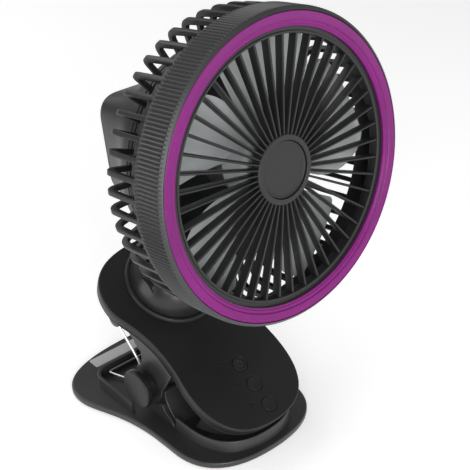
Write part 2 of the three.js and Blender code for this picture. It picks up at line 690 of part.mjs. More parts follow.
function uprightDrum(radius, from, to, x, y, sides = SMALL) {
  return uprightTurned([[0, from], [radius, from], [radius, to], [0, to]], sides).translate(x, y, 0);
}

function upperEar() {
  const { s, n } = pivotInJaw;
  const shape = new THREE.Shape();
  const meet = Math.acos((s - BELLY_FRONT + 2) / EAR_RADIUS);
  shape.moveTo(BELLY_FRONT - 2, floorTop - 0.2);
  shape.absarc(s, n, EAR_RADIUS, Math.PI - meet, Math.PI * 2 + 0.5);
  shape.quadraticCurveTo(s + 14.5, n + 15, s + 21, n + 17.8);
  shape.lineTo(LUG_S - 9, LUG_N - 4.4);
  shape.lineTo(LUG_S, LUG_N - LUG_RADIUS);
  shape.lineTo(LUG_S + LUG_RADIUS, LUG_N);
  shape.lineTo(LUG_S + LUG_RADIUS + 2, floorTop - 0.2);
  return shape;
}

function upperJawBelly() {
  const low = floorTop - 2 * CELL_RADIUS - 2 * GAP - BELLY_WALL;
  const floor = solid(loft([
    planRing(UPPER, SKIRT_TUCK + FLOOR_TUCK, floorTop - FLOOR_THICK),
    planRing(UPPER, SKIRT_TUCK + FLOOR_TUCK * 0.3, floorTop - FLOOR_THICK * 0.6),
    planRing(UPPER, SKIRT_TUCK, floorTop),
  ]));
  const side = new THREE.Shape();
  side.moveTo(BELLY_FRONT, floorTop - 1);
  side.lineTo(BELLY_FRONT, low + 2);
  side.quadraticCurveTo(BELLY_FRONT, low, BELLY_FRONT + 2, low);
  side.lineTo(BELLY_REAR - 3, low);
  side.quadraticCurveTo(BELLY_REAR, low, BELLY_REAR + 1, low + 3);
  side.lineTo(BELLY_REAR + 6, floorTop - 1);
  const box = solid(sideways(side, -BELLY_HALF, BELLY_HALF, 4));
  const room = solid(new THREE.BoxGeometry(
    CELL_LENGTH + 2 * GAP, 4 * CELL_RADIUS + 3 * GAP, 2 * CELL_RADIUS + 2 * GAP + 2)
    .translate(0, cellAt(0.5), floorTop - CELL_RADIUS - GAP + 1));
  const parts = [floor, box];
  for (const hand of [-1, 1]) {
    const edges = [hand * (EAR_OUTSIDE - EAR_THICK), hand * EAR_OUTSIDE].sort((a, b) => a - b);
    parts.push(solid(sideways(upperEar(), edges[0], edges[1], 8)));
    const lugEdges = [hand * LUG_INSIDE, hand * LUG_OUTSIDE].sort((a, b) => a - b);
    parts.push(solid(crossDrum(LUG_RADIUS, lugEdges[0], lugEdges[1], 24).translate(0, LUG_S, LUG_N)));
  }
  const collar = solid(uprightTurned([
    [DOME_RADIUS - 1, floorTop - 1], [DOME_RADIUS + DOME_FLANGE, floorTop - 1],
    [DOME_RADIUS + DOME_FLANGE, DOME_CENTRE + flangeLow - RUN], [DOME_RADIUS - 1, DOME_CENTRE + flangeLow - RUN],
  ], MIDDLE).translate(0, DOME_S, 0));
  const port = solid(new THREE.BoxGeometry(PORT_WIDTH + 4, 20, 2 * PORT_HEIGHT)
    .translate(0, UPPER.length - 8, floorTop + PORT_HEIGHT));
  const pivot = solid(crossDrum(PIN_RADIUS + GAP, -60, 60, 24).translate(0, pivotInJaw.s, pivotInJaw.n));
  return join([...parts, collar.subtract(port)]).subtract(room).subtract(pivot).subtract(springHoles());
}

// holes in the lugs for the two upper ends of the spring
function springHoles() {
  const { from, to } = springUpperLeg();
  const holes = [-1, 1].map((hand) => {
    const [a, b] = [from, to].map((p) => {
      const q = inJaw(p);
      return new THREE.Vector3(-hand * p.x, q.s, q.n);
    });
    const along = a.clone().sub(b).normalize();
    const bar = new THREE.CylinderGeometry(WIRE / 2 + GAP, WIRE / 2 + GAP, 2 * LUG_RADIUS, 10);
    bar.translate(0, LUG_RADIUS - 1, 0);
    bar.applyQuaternion(new THREE.Quaternion().setFromUnitVectors(new THREE.Vector3(0, 1, 0), along));
    return solid(bar.translate(b.x, b.y, b.z));
  });
  return join(holes);
}

const cellAt = (i) => BELLY_FRONT + BELLY_WALL + GAP + CELL_RADIUS + i * (2 * CELL_RADIUS + GAP);

function batteryCell(i) {
  const half = CELL_LENGTH / 2;
  const can = turned([
    [0, -half], [CELL_RADIUS, -half], [CELL_RADIUS, half - CELL_NIB], [CELL_NIB * 2, half - CELL_NIB],
    [CELL_NIB * 2, half], [0, half],
  ], SMALL);
  return solid(can.rotateZ(i % 2 ? Math.PI / 2 : -Math.PI / 2).translate(0, cellAt(i), floorTop - CELL_RADIUS - GAP));
}

function circuitBoard() {
  const low = floorTop + GAP;
  const length = BOARD_REAR - BOARD_FRONT;
  return solid(new THREE.BoxGeometry(2 * BOARD_HALF, length, BOARD_THICK)
    .translate(0, BOARD_FRONT + length / 2, low + BOARD_THICK / 2));
}

const boardTop = floorTop + GAP + BOARD_THICK;

function pushButton(i) {
  const top = BUTTON_PROUD;
  const flange = -UPPER_WALL - GAP;
  const stem = boardTop + BUTTON_TRAVEL + GAP;
  const cap = uprightTurned([
    [0, top], [BUTTON_RADIUS - BUTTON_EDGE, top], [BUTTON_RADIUS, top - BUTTON_EDGE], [BUTTON_RADIUS, flange],
    [BUTTON_RADIUS + BUTTON_FLANGE, flange], [BUTTON_RADIUS + BUTTON_FLANGE, flange - BUTTON_FLANGE],
    [BUTTON_STEM, flange - BUTTON_FLANGE], [BUTTON_STEM, stem], [0, stem],
  ], SMALL);
  return solid(cap.translate(BUTTON_X, buttonAt(i), 0));
}

function indicatorLight(i) {
  return solid(uprightDrum(LIGHT_RADIUS, boardTop + GAP, -0.1, BUTTON_X - LIGHT_SIDE, buttonAt(i) + LIGHT_BACK, 12));
}

function socketCollar() {
  const inside = (n) => Math.sqrt(DOME_RADIUS ** 2 - (n - DOME_CENTRE) ** 2) + RUN;
  const out = DOME_RADIUS + RUN + COLLAR_WIDTH;
  return solid(uprightTurned([
    [inside(GAP), GAP], [out, GAP], [out - 0.4, COLLAR_HEIGHT * 0.5], [out - 1.8, COLLAR_HEIGHT],
    [inside(COLLAR_HEIGHT), COLLAR_HEIGHT],
  ], ROUND).translate(0, DOME_S, 0));
}

function chargingSocket() {
  const low = -SKIRT;
  const [half, high] = [PORT_WIDTH / 2, low + PORT_HEIGHT];
  const back = UPPER.length - 1.2;
  const shell = solid(prism(roundedBox(-half, half, low, high, 1.4), -back, -back + PORT_DEPTH, 2).rotateX(Math.PI / 2));
  const mouth = solid(prism(
    roundedBox(-half + 0.4, half - 0.4, low + 0.4, high - 0.4, 1.1), -back - 1, -back + PORT_DEPTH - 1.2, 2).rotateX(Math.PI / 2));
  const tongue = solid(new THREE.BoxGeometry(PORT_WIDTH - 3, PORT_DEPTH - 1.4, 0.7)
    .translate(0, back - PORT_DEPTH / 2 - 0.3, (low + high) / 2));
  return shell.subtract(mouth).add(tongue);
}

// rubber grip under the front of the upper jaw, cut level with the lower grip
function upperPad() {
  const tip = new THREE.Shape(jawPlan(UPPER, SKIRT_TUCK + FLOOR_TUCK + 0.6));
  const block = solid(prism(tip, -30, floorTop - FLOOR_THICK - GAP));
  const hollow = solid(prism(planShape(UPPER, SKIRT_TUCK + FLOOR_TUCK + 8), -31, floorTop));
  const keep = solid(new THREE.BoxGeometry(200, 30, 60).translate(0, 15, -20));
  const level = solid(new THREE.BoxGeometry(200, 200, 60).translate(0, 0, LIP_TOP + GAP - 30)
    .translate(0, -JAW_TIP_Y, -JAW_TIP_Z).rotateX(-slope));
  return block.subtract(hollow).intersect(keep).subtract(level);
}

// ---- lower jaw ------------------------------------------------------------
const lowerFront = -LOWER.length / 2;
const mouthFront = lowerFront + MOUTH_SETBACK;

function throatShape(thick) {
  const shape = new THREE.Shape();
  shape.moveTo(THROAT_FOOT, LOWER_THICK - 0.3);
  shape.bezierCurveTo(THROAT_FOOT + 3, 10, THROAT_REAR - 0.5, 13, THROAT_REAR, THROAT_TOP);
  shape.lineTo(THROAT_REAR + thick, THROAT_TOP);
  shape.bezierCurveTo(THROAT_REAR + thick, 12, THROAT_FOOT + thick + 4, 9, THROAT_FOOT + thick + 2, LOWER_THICK - 0.3);
  return shape;
}

function bearerShape() {
  const shape = new THREE.Shape();
  shape.moveTo(THROAT_REAR - 4, LOWER_THICK - 0.3);
  shape.lineTo(THROAT_REAR + 1.5, 14);
  shape.absarc(PIVOT_Y, PIVOT_Z, BEARER_RADIUS, Math.PI * 0.93, 0, true);
  shape.lineTo(PIVOT_Y + BEARER_RADIUS + 6, LOWER_THICK - 0.3);
  return shape;
}

function lowerJaw() {
  const plate = solid(loft([
    planRing(LOWER, 0.7, 0), planRing(LOWER, 0, 0.7), planRing(LOWER, 0, LOWER_THICK - 0.9),
    planRing(LOWER, 0.9, LOWER_THICK),
  ]).translate(0, lowerFront, 0));
  const lip = solid(prism(planShape(MOUTH, 0), LOWER_THICK - 0.3, LIP_TOP)).subtract(
    solid(prism(planShape(MOUTH, LIP_WALL), LOWER_THICK, LIP_TOP + 1)))
    .intersect(solid(new THREE.BoxGeometry(200, LIP_END - mouthFront + 5, 40)
      .translate(0, (LIP_END - mouthFront) / 2 - 2.5, 10))).translate([0, mouthFront, 0]);
  const throat = solid(sideways(throatShape(THROAT_WALL), -EAR_OUTSIDE, EAR_OUTSIDE, 6));
  const between = EAR_OUTSIDE - EAR_THICK - 2 * RUN;
  const round = solid(crossDrum(EAR_RADIUS + 2 * RUN, -EAR_OUTSIDE - 1, EAR_OUTSIDE + 1, MIDDLE));
  const earRoom = round.subtract(solid(new THREE.BoxGeometry(2 * between, 100, 100))).translate([0, PIVOT_Y, PIVOT_Z]);
  const parts = [plate, lip, throat.subtract(earRoom)];
  for (const hand of [-1, 1]) {
    const cheek = [hand * (EAR_OUTSIDE - 3), hand * EAR_OUTSIDE].sort((a, b) => a - b);
    parts.push(solid(sideways(cheekShape(), cheek[0], cheek[1], 6)).subtract(earRoom));
    const bearer = [hand * BEARER_INSIDE, hand * (BEARER_INSIDE + BEARER_THICK)].sort((a, b) => a - b);
    parts.push(solid(sideways(bearerShape(), bearer[0], bearer[1], 10)));
  }
  parts.push(springTray());
  const bore = solid(crossDrum(PIN_RADIUS + GAP, -34, 34, 24).translate(0, PIVOT_Y, PIVOT_Z));
  return join(parts).subtract(bore);
}

// side wall of the throat below the upper ear
function cheekShape() {
  const shape = new THREE.Shape();
  shape.moveTo(THROAT_FOOT, LOWER_THICK - 0.3);
  shape.bezierCurveTo(THROAT_FOOT + 3, 10, THROAT_REAR - 0.5, 13, THROAT_REAR, THROAT_TOP - 4);
  shape.lineTo(THROAT_REAR + 6, THROAT_TOP - 8);
  shape.lineTo(PIVOT_Y + 10, LOWER_THICK + 5);
  shape.lineTo(PIVOT_Y + 16, LOWER_THICK - 0.3);
  return shape;
}

// open tray behind the pivot in which the spring's cross bar lies
function springTray() {
  const outer = solid(prism(
    roundedBox(-TRAY_HALF, TRAY_HALF, TRAY_FRONT - TRAY_CORNER * 2, TRAY_REAR, TRAY_CORNER), LOWER_THICK - 0.3, TRAY_TOP, 5));
  const inner = solid(prism(roundedBox(
    -TRAY_HALF + TRAY_WALL, TRAY_HALF - TRAY_WALL, TRAY_FRONT - TRAY_CORNER * 3, TRAY_REAR - TRAY_WALL,
    TRAY_CORNER - TRAY_WALL), LOWER_THICK - 1, TRAY_TOP + 1, 5));
  const keep = solid(new THREE.BoxGeometry(200, 100, 40).translate(0, TRAY_FRONT + 50, 10));
  return outer.subtract(inner).intersect(keep);
}

function lowerPad() {
  const grip = solid(prism(planShape(MOUTH, LIP_WALL + GAP), LOWER_THICK + GAP, LIP_TOP - 1));
  const hollow = solid(prism(planShape(MOUTH, LIP_WALL + GAP + PAD_THICK * 2), 0, LIP_TOP));
  const keep = solid(new THREE.BoxGeometry(200, 26, 60).translate(0, 13, 0));
  return grip.subtract(hollow).intersect(keep).translate([0, mouthFront, 0]);
}

function pivotPin() {
  const half = CAP_FACE - CAP_THICK + 1.5;
  return solid(crossDrum(PIN_RADIUS, -half, half, 24).translate(0, PIVOT_Y, PIVOT_Z));
}

function pivotCap(hand) {
  const root = EAR_OUTSIDE + GAP;
  const disc = CAP_FACE - CAP_THICK;
  const cap = turned([
    [PIN_RADIUS + GAP, root], [CAP_COLLAR, root], [CAP_COLLAR, disc], [CAP_RADIUS - 0.6, disc], [CAP_RADIUS, disc + 0.6],
    [CAP_RADIUS, CAP_FACE - 0.7], [CAP_RADIUS - 0.7, CAP_FACE], [0, CAP_FACE], [0, disc + 1.5 + GAP],
    [PIN_RADIUS + GAP, disc + 1.5 + GAP],
  ], MIDDLE);
  return solid(cap.rotateZ(-hand * Math.PI / 2).translate(0, PIVOT_Y, PIVOT_Z));
}

// ---- clip spring ------------------------------------------------------------
// Left half of the wire's centre line: down from the lug behind the ear, round the pivot,
// down into the tray and back to the corner of the cross bar. The right half mirrors it.
function springUpperLeg() {
  const lug = jawPoint(LUG_S, LUG_N);
  const to = new THREE.Vector3(-(LUG_INSIDE + LUG_OUTSIDE) / 2, lug.y + LUG_RADIUS * 0.6, lug.z - LUG_RADIUS * 0.4);
  const [dy, dz] = [to.y - PIVOT_Y, to.z - PIVOT_Z];
  const start = Math.atan2(dz, dy) - Math.acos(COIL_RADIUS / Math.hypot(dy, dz));
  return { from: coilPoint(start, -COIL_OUTSIDE), to, start };
}

const coilPoint = (angle, x) => new THREE.Vector3(
  x, PIVOT_Y + COIL_RADIUS * Math.cos(angle), PIVOT_Z + COIL_RADIUS * Math.sin(angle));

function springHalf() {
  const { from, to, start } = springUpperLeg();
  const stop = SPRING_LEAVE * RAD - 2 * Math.PI * COIL_TURNS;
  const steps = Math.ceil((start - stop) / (Math.PI / 4));
  const points = [to, to.clone().lerp(from, 0.06), from.clone().lerp(to, 0.3).setX(from.x - GAP)];
  for (let i = 0; i <= steps; i++) {
    const turned = (start - stop) * i / steps;
    points.push(coilPoint(start - turned, COIL_PITCH * turned / (2 * Math.PI) - COIL_OUTSIDE));
  }
  const last = points.at(-1);
  const down = (last.z - SPRING_BAR_Z) / Math.cos(SPRING_LEAVE * RAD);
  const foot = new THREE.Vector3(last.x - 2, last.y + down * Math.sin(SPRING_LEAVE * RAD), SPRING_BAR_Z);
  const corner = new THREE.Vector3(-SPRING_HALF, SPRING_REAR, SPRING_BAR_Z);
  points.push(...bend(last, foot, corner, SPRING_CORNER * 1.5), ...bend(foot, corner, cornerNeighbour(), SPRING_CORNER));
  return points;
}

const cornerNeighbour = () => new THREE.Vector3(0, SPRING_REAR, SPRING_BAR_Z);

// the wire turns from one straight run to the next over this distance either side
function bend(before, corner, after, reach) {
  const from = corner.clone().addScaledVector(before.clone().sub(corner).normalize(), reach);
  const to = corner.clone().addScaledVector(after.clone().sub(corner).normalize(), reach);
  return new THREE.QuadraticBezierCurve3(from, corner, to).getPoints(3);
}

function springPath() {
  const left = springHalf();
  const right = left.slice().reverse().map((p) => new THREE.Vector3(-p.x, p.y, p.z));
  return [...left, new THREE.Vector3(0, SPRING_REAR, SPRING_BAR_Z), ...right];
}

// five-sided tube carried along the points without twisting
function tube(points, radius, sides) {
  const rings = [];
  let side = new THREE.Vector3(1, 0, 0);
  points.forEach((p, i) => {
    const along = points[Math.min(i + 1, points.length - 1)].clone().sub(points[Math.max(i - 1, 0)]).normalize();
    side = side.clone().addScaledVector(along, -side.dot(along)).normalize();
    const up = along.clone().cross(side);
    const ring = [];
    for (let k = 0; k < sides; k++) {
      const a = 2 * Math.PI * k / sides;
      ring.push(p.clone().addScaledVector(side, radius * Math.cos(a)).addScaledVector(up, radius * Math.sin(a)));
    }
    rings.push(ring);
  });
  const index = [];
  for (let r = 0; r + 1 < rings.length; r++) {
    for (let k = 0; k < sides; k++) {
      const [a, b] = [r * sides + k, r * sides + (k + 1) % sides];
      index.push(a, b, b + sides, a, b + sides, a + sides);
    }
  }
  const end = (rings.length - 1) * sides;
  for (let k = 1; k + 1 < sides; k++) index.push(0, k + 1, k, end, end + k, end + k + 1);
  const geometry = new THREE.BufferGeometry().setFromPoints(rings.flat());
  geometry.setIndex(index);
  return solid(geometry);
}

// least distance between two stretches of the wire that are not neighbours, less its thickness
function leastGap(points, thick) {
  const dense = [];
  for (let i = 0; i + 1 < points.length; i++) {
    for (let k = 0; k < 6; k++) dense.push(points[i].clone().lerp(points[i + 1], k / 6));
  }
  const length = [0];
  for (let i = 1; i < dense.length; i++) length.push(length[i - 1] + dense[i].distanceTo(dense[i - 1]));
  let least = Infinity;
  for (let i = 0; i < dense.length; i++) {
    for (let j = i + 1; j < dense.length; j++) {
      if (length[j] - length[i] > 4 * thick) least = Math.min(least, dense[i].distanceTo(dense[j]));
    }
  }
  return least - thick;
}

function clipSpring() {
  const points = springPath();
  console.log(`clip_spring least gap to itself ${leastGap(points, WIRE).toFixed(2)} mm`);
  return tube(points, WIRE / 2, 5);
}

// ---- assembly ---------------------------------------------------------------
const FINISH = {
  charcoal: { color: 0x333436, roughness: 0.5, metalness: 0 },
  dark: { color: 0x26272a, roughness: 0.45, metalness: 0 },
  purple: { color: 0x9a3b92, roughness: 0.22, metalness: 0.1 },
  blade: { color: 0xb9bbbe, roughness: 0.4, metalness: 0 },
  shiny: { color: 0x2b2c2f, roughness: 0.25, metalness: 0 },
  rubber: { color: 0x1b1b1c, roughness: 0.8, metalness: 0 },
  steel: { color: 0xc9cbce, roughness: 0.25, metalness: 1 },
  bronze: { color: 0xb08a4e, roughness: 0.4, metalness: 1 },
  board: { color: 0x1f5a35, roughness: 0.5, metalness: 0 },
  cell: { color: 0x3f6fae, roughness: 0.4, metalness: 0 },
  lamp: { color: 0xd8dadd, roughness: 0.3, metalness: 0 },
};

function add(group, name, body, finish) {
  const mesh = new THREE.Mesh(geometryOf(body), new THREE.MeshStandardMaterial(FINISH[finish]));
  mesh.name = name;
  group.add(mesh);
}

const head = new THREE.Group();
head.position.set(0, HEAD_FRONT, HEAD_HEIGHT);
head.rotation.x = -HEAD_TILT * RAD;
add(head, 'front_bezel', frontBezel(), 'charcoal');
add(head, 'trim_ring', trimRing(), 'purple');
add(head, 'front_grille', frontGrille(), 'dark');
add(head, 'hub_cap', hubCap(), 'charcoal');
add(head, 'rear_cage', rearCage(), 'charcoal');
add(head, 'motor_plate', motorPlate(), 'charcoal');
add(head, 'rear_housing', rearHousing(), 'charcoal');
add(head, 'motor_can', motorCan(), 'steel');
add(head, 'bush_front', bush(canFront + GAP), 'bronze');
add(head, 'bush_rear', bush(plateBack - PLATE_THICK - GAP - BUSH_LENGTH - GAP), 'bronze');
add(head, 'motor_shaft', motorShaft(), 'steel');
add(head, 'fan_rotor', fanRotor(), 'blade');

const neck = new THREE.Group();
neck.position.copy(jawPoint(DOME_S, DOME_CENTRE));
neck.rotation.x = slope;
add(neck, 'neck_dome', neckDome(), 'shiny');
add(neck, 'tilt_pin', tiltPin(), 'steel');

const jaw = new THREE.Group();
jaw.position.set(0, JAW_TIP_Y, JAW_TIP_Z);
jaw.rotation.x = slope;
add(jaw, 'upper_jaw_top', upperJawTop(), 'charcoal');
add(jaw, 'upper_jaw_belly', upperJawBelly(), 'charcoal');
add(jaw, 'socket_collar', socketCollar(), 'dark');
add(jaw, 'circuit_board', circuitBoard(), 'board');
add(jaw, 'battery_front', batteryCell(0), 'cell');
add(jaw, 'battery_rear', batteryCell(1), 'cell');
add(jaw, 'charging_socket', chargingSocket(), 'steel');
add(jaw, 'upper_pad', upperPad(), 'rubber');
for (let i = 0; i < BUTTON_COUNT; i++) {
  add(jaw, `button_${i + 1}`, pushButton(i), 'dark');
  add(jaw, `indicator_${i + 1}`, indicatorLight(i), 'lamp');
}

const base = new THREE.Group();
add(base, 'lower_jaw', lowerJaw(), 'charcoal');
add(base, 'lower_pad', lowerPad(), 'rubber');
add(base, 'pivot_pin', pivotPin(), 'steel');
add(base, 'pivot_cap_left', pivotCap(-1), 'charcoal');
add(base, 'pivot_cap_right', pivotCap(1), 'charcoal');
add(base, 'clip_spring', clipSpring(), 'steel');

const fan = new THREE.Group();
fan.add(base, jaw, neck, head);

export default fan;
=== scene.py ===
"""Looks of the clip fan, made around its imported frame. Lengths in here are millimetres until place()."""
import math

import bmesh
import bpy
import numpy as np
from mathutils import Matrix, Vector, geometry


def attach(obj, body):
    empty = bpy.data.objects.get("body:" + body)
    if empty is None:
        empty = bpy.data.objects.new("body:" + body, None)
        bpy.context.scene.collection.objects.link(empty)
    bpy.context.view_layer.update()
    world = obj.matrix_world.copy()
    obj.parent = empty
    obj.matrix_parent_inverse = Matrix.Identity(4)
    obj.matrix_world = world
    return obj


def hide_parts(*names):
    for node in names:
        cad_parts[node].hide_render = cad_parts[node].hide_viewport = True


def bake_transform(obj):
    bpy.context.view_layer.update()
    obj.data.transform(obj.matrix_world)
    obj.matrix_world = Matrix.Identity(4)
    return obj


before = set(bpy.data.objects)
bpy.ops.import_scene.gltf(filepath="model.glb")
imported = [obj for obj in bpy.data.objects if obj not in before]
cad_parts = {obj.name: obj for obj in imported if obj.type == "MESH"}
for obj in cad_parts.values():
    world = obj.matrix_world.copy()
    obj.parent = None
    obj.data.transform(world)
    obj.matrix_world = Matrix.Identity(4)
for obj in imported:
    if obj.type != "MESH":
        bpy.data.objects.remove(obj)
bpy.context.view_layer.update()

MM = 0.001
RAD = math.pi / 180
SLOPE = 28.9 * RAD      # rise of the upper jaw with the clip closed
TILT = 10 * RAD         # lean of the head
GAP = 0.3               # between pieces that are fixed together
RUN = 0.35              # between pieces that move past each other


# ---- frames and meshes -------------------------------------------------------------
def place(points, where):
    """Points in a piece's own frame, turned about X and shifted into the row frame, in metres."""
    origin, turn = where
    p = np.asarray(points, float)
    c, s = math.cos(turn), math.sin(turn)
    turned = np.stack([p[..., 0], p[..., 1] * c - p[..., 2] * s, p[..., 1] * s + p[..., 2] * c], -1)
    return (turned + origin) * MM


BASE = (np.zeros(3), 0.0)
JAW = (np.array([0, -79.5, 24.4]), SLOPE)
DOME_S, DOME_N = 118.7, -4.0        # centre of the dome, up the jaw and out of its top face
PIN_RISE = 13                       # tilt pin above that centre
NECK = (place([0, DOME_S, DOME_N], JAW) / MM, SLOPE)
HEAD = (np.array([0, -86, 210.6]), -TILT)


def into(where, point):
    """A row-frame point (x, y, z) in millimetres, seen from another frame."""
    origin, turn = where
    x, y, z = np.asarray(point, float) - origin
    c, s = math.cos(turn), math.sin(turn)
    return np.array([x, y * c + z * s, z * c - y * s])


class Skin:
    """Patches of one piece, gathered in its own frame and welded when it is made."""

    def __init__(self, where=BASE):
        self.where, self.points, self.faces, self.count = where, [], [], 0

    def add(self, points, faces):
        """Patch of points, with faces that count from its own first point."""
        points = np.asarray(points, float).reshape(-1, 3)
        self.faces += [[int(i) + self.count for i in f] for f in faces]
        self.points.append(points)
        self.count += len(points)

    def grid(self, p, wrap_i=False, wrap_j=False, keep=None):
        """Quads over a two-parameter grid of points, leaving out the cells where keep is False."""
        p = np.asarray(p, float)
        idx = np.arange(p.shape[0] * p.shape[1]).reshape(p.shape[:2])
        if wrap_i:
            idx = np.vstack([idx, idx[:1]])
        if wrap_j:
            idx = np.hstack([idx, idx[:, :1]])
        quads = np.stack([idx[:-1, :-1], idx[1:, :-1], idx[1:, 1:], idx[:-1, 1:]], -1)
        quads = quads.reshape(-1, 4) if keep is None else quads[keep]
        self.add(p, quads)

    def cap(self, ring):
        """One face that closes a ring of points."""
        self.add(ring, [range(len(ring))])

    def region(self, outer, holes, lift):
        """Flat area inside one loop and outside others; lift turns its 2-D points into 3-D ones."""
        loops = [np.asarray(loop, float) for loop in [outer, *holes]]
        edges, start = [], 0
        for loop in loops:
            edges += [(start + i, start + (i + 1) % len(loop)) for i in range(len(loop))]
            start += len(loop)
        made = geometry.delaunay_2d_cdt([Vector(p) for p in np.vstack(loops)], edges, [], 0, 1e-7)
        flat, tris = np.array([tuple(v) for v in made[0]]), np.array([list(f) for f in made[2]])
        mid = flat[tris].mean(1)
        keep = within(mid, loops[0])
        for loop in loops[1:]:
            keep &= ~within(mid, loop)
        self.add(lift(flat), tris[keep])


def within(points, loop):
    """Even-odd test of points against a closed loop."""
    x, y = points[:, None, 0], points[:, None, 1]
    a, b = loop[None], np.roll(loop, -1, 0)[None]
    rising = (a[..., 1] > y) != (b[..., 1] > y)
    run = np.where(b[..., 1] == a[..., 1], 1, b[..., 1] - a[..., 1])
    crossing = (b[..., 0] - a[..., 0]) * (y - a[..., 1]) / run + a[..., 0]
    return ((rising & (x < crossing)).sum(1) % 2).astype(bool)


def make(skin, name, body, material, stands_for=(), sharp=38):
    """Welds the patches, turns their faces outwards and puts the piece on its body."""
    mesh = bpy.data.meshes.new(name)
    mesh.from_pydata(place(np.vstack(skin.points), skin.where).tolist(), [], skin.faces)
    bm = bmesh.new()
    bm.from_mesh(mesh)
    bmesh.ops.remove_doubles(bm, verts=bm.verts, dist=2e-6)
    bmesh.ops.dissolve_degenerate(bm, dist=1e-6, edges=bm.edges)
    bmesh.ops.recalc_face_normals(bm, faces=bm.faces)
    bm.to_mesh(mesh)
    bm.free()
    mesh.polygons.foreach_set("use_smooth", np.ones(len(mesh.polygons), bool))
    mesh.set_sharp_from_angle(angle=sharp * RAD)
    mesh.materials.append(material)
    obj = bpy.data.objects.new(name, mesh)
    bpy.context.scene.collection.objects.link(obj)
    if body:
        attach(obj, body)
    if stands_for:
        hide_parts(*([stands_for] if isinstance(stands_for, str) else stands_for))
    return obj


# ---- curves ------------------------------------------------------------------------
def fillet(points, radius, steps=5, closed=True):
    """Polygon whose corners become arcs of the given radii."""
    p = np.asarray(points, float)
    radii = np.broadcast_to(np.asarray(radius, float), (len(p),))
    out = []
    for i, (b, r) in enumerate(zip(p, radii)):
        if r <= 0 or (not closed and i in (0, len(p) - 1)):
            out.append(b)
            continue
        u, v = p[i - 1] - b, p[(i + 1) % len(p)] - b
        lu, lv = np.linalg.norm(u), np.linalg.norm(v)
        u, v = u / lu, v / lv
        half = math.acos(np.clip(u @ v, -1, 1)) / 2
        if half > 1.55:
            out.append(b)
            continue
        reach = min(r / math.tan(half), 0.49 * lu, 0.49 * lv)
        r = reach * math.tan(half)
        centre = b + (u + v) / np.linalg.norm(u + v) * r / math.sin(half)
        a, z = b + u * reach - centre, b + v * reach - centre
        start = math.atan2(a[1], a[0])
        sweep = (math.atan2(z[1], z[0]) - start + math.pi) % (2 * math.pi) - math.pi
        angles = start + sweep * np.linspace(0, 1, steps + 1)
        out += list(centre + r * np.stack([np.cos(angles), np.sin(angles)], -1))
    return np.array(out)


def bezier(a, b, c, d, count):
    """Cubic curve from a to d, drawn towards b and c, without its last point."""
    t = np.linspace(0, 1, count, endpoint=False)[:, None]
    a, b, c, d = (np.array(v, float) for v in (a, b, c, d))
    return (1 - t) ** 3 * a + 3 * (1 - t) ** 2 * t * b + 3 * (1 - t) * t ** 2 * c + t ** 3 * d


def spline(at, values, x):
    """Smooth curve through values given at the stations at, read at x (cubic, tangents from neighbours)."""
    at, values, x = np.asarray(at, float), np.asarray(values, float), np.asarray(x, float)
    slope = np.gradient(values, at, axis=0)
    i = np.clip(np.searchsorted(at, x) - 1, 0, len(at) - 2)
    h = at[i + 1] - at[i]
    t = (x - at[i]) / h
    if values.ndim > 1:
        t, h = t[:, None], h[:, None]
    return ((1 + 2 * t) * (1 - t) ** 2 * values[i] + t * (1 - t) ** 2 * h * slope[i]
            + t * t * (3 - 2 * t) * values[i + 1] + t * t * (t - 1) * h * slope[i + 1])


def circle(radius, count, centre=(0, 0)):
    """Points evenly spaced round a centre."""
    a = np.linspace(0, 2 * math.pi, count, endpoint=False)
    return np.stack([centre[0] + radius * np.cos(a), centre[1] + radius * np.sin(a)], -1)


def revolve(skin, profile, sides, closed=True, axis="y", centre=(0, 0, 0)):
    """Profile of (radius, height) turned about an axis; it closes on itself or ends on the axis."""
    p = np.asarray(profile, float)
    a = np.linspace(0, 2 * math.pi, sides, endpoint=False)[:, None]
    u, v, h = p[:, 0] * np.cos(a), p[:, 0] * np.sin(a), p[:, 1] + 0 * a
    order = {"y": (u, h, v), "z": (u, v, h), "x": (h, u, v)}[axis]
    skin.grid(np.stack(order, -1) + centre, wrap_i=True, wrap_j=closed)


def inset(loop, depth):
    """Closed loop moved inwards by depth along its own normals."""
    p = np.asarray(loop, float)
    e = np.roll(p, -1, 0) - p
    e /= np.maximum(np.linalg.norm(e, axis=1, keepdims=True), 1e-9)
    n = np.stack([-e[:, 1], e[:, 0]], -1)
    m = n + np.roll(n, 1, 0)
    m /= np.maximum((m * m).sum(1, keepdims=True) / 2, 0.35)
    area = (p[:, 0] * np.roll(p[:, 1], -1) - np.roll(p[:, 0], -1) * p[:, 1]).sum()
    return p + m * depth * (1 if area > 0 else -1)


def rounding(radius, steps=4):
    """(inset, drop) pairs of a quarter-round edge, from the flat face to the side."""
    t = np.linspace(0, math.pi / 2, steps + 1)
    return [(radius * 1.5, 0.0)] + [(radius * (1 - math.sin(a)), radius * (1 - math.cos(a))) for a in t]


def prism(skin, loop, low, high, edge=0.5, axis="z", low_edge=None, steps=3):
    """Closed loop carried along an axis, with both end edges rounded."""
    low_edge = edge if low_edge is None else low_edge
    def ring(depth, level):
        q = inset(loop, depth)
        z = np.full(len(q), level)
        return np.stack([z, q[:, 0], q[:, 1]] if axis == "x" else [q[:, 0], q[:, 1], z], -1)
    rings = [ring(i, low + d) for i, d in rounding(low_edge, steps)]
    rings += [ring(i, high - d) for i, d in reversed(rounding(edge, steps))]
    skin.grid(rings, wrap_j=True)
    skin.cap(rings[0])
    skin.cap(rings[-1])


def quad_strip(skin, a, b):
    """One row of quads between two edges."""
    skin.grid(np.stack([a, b]))


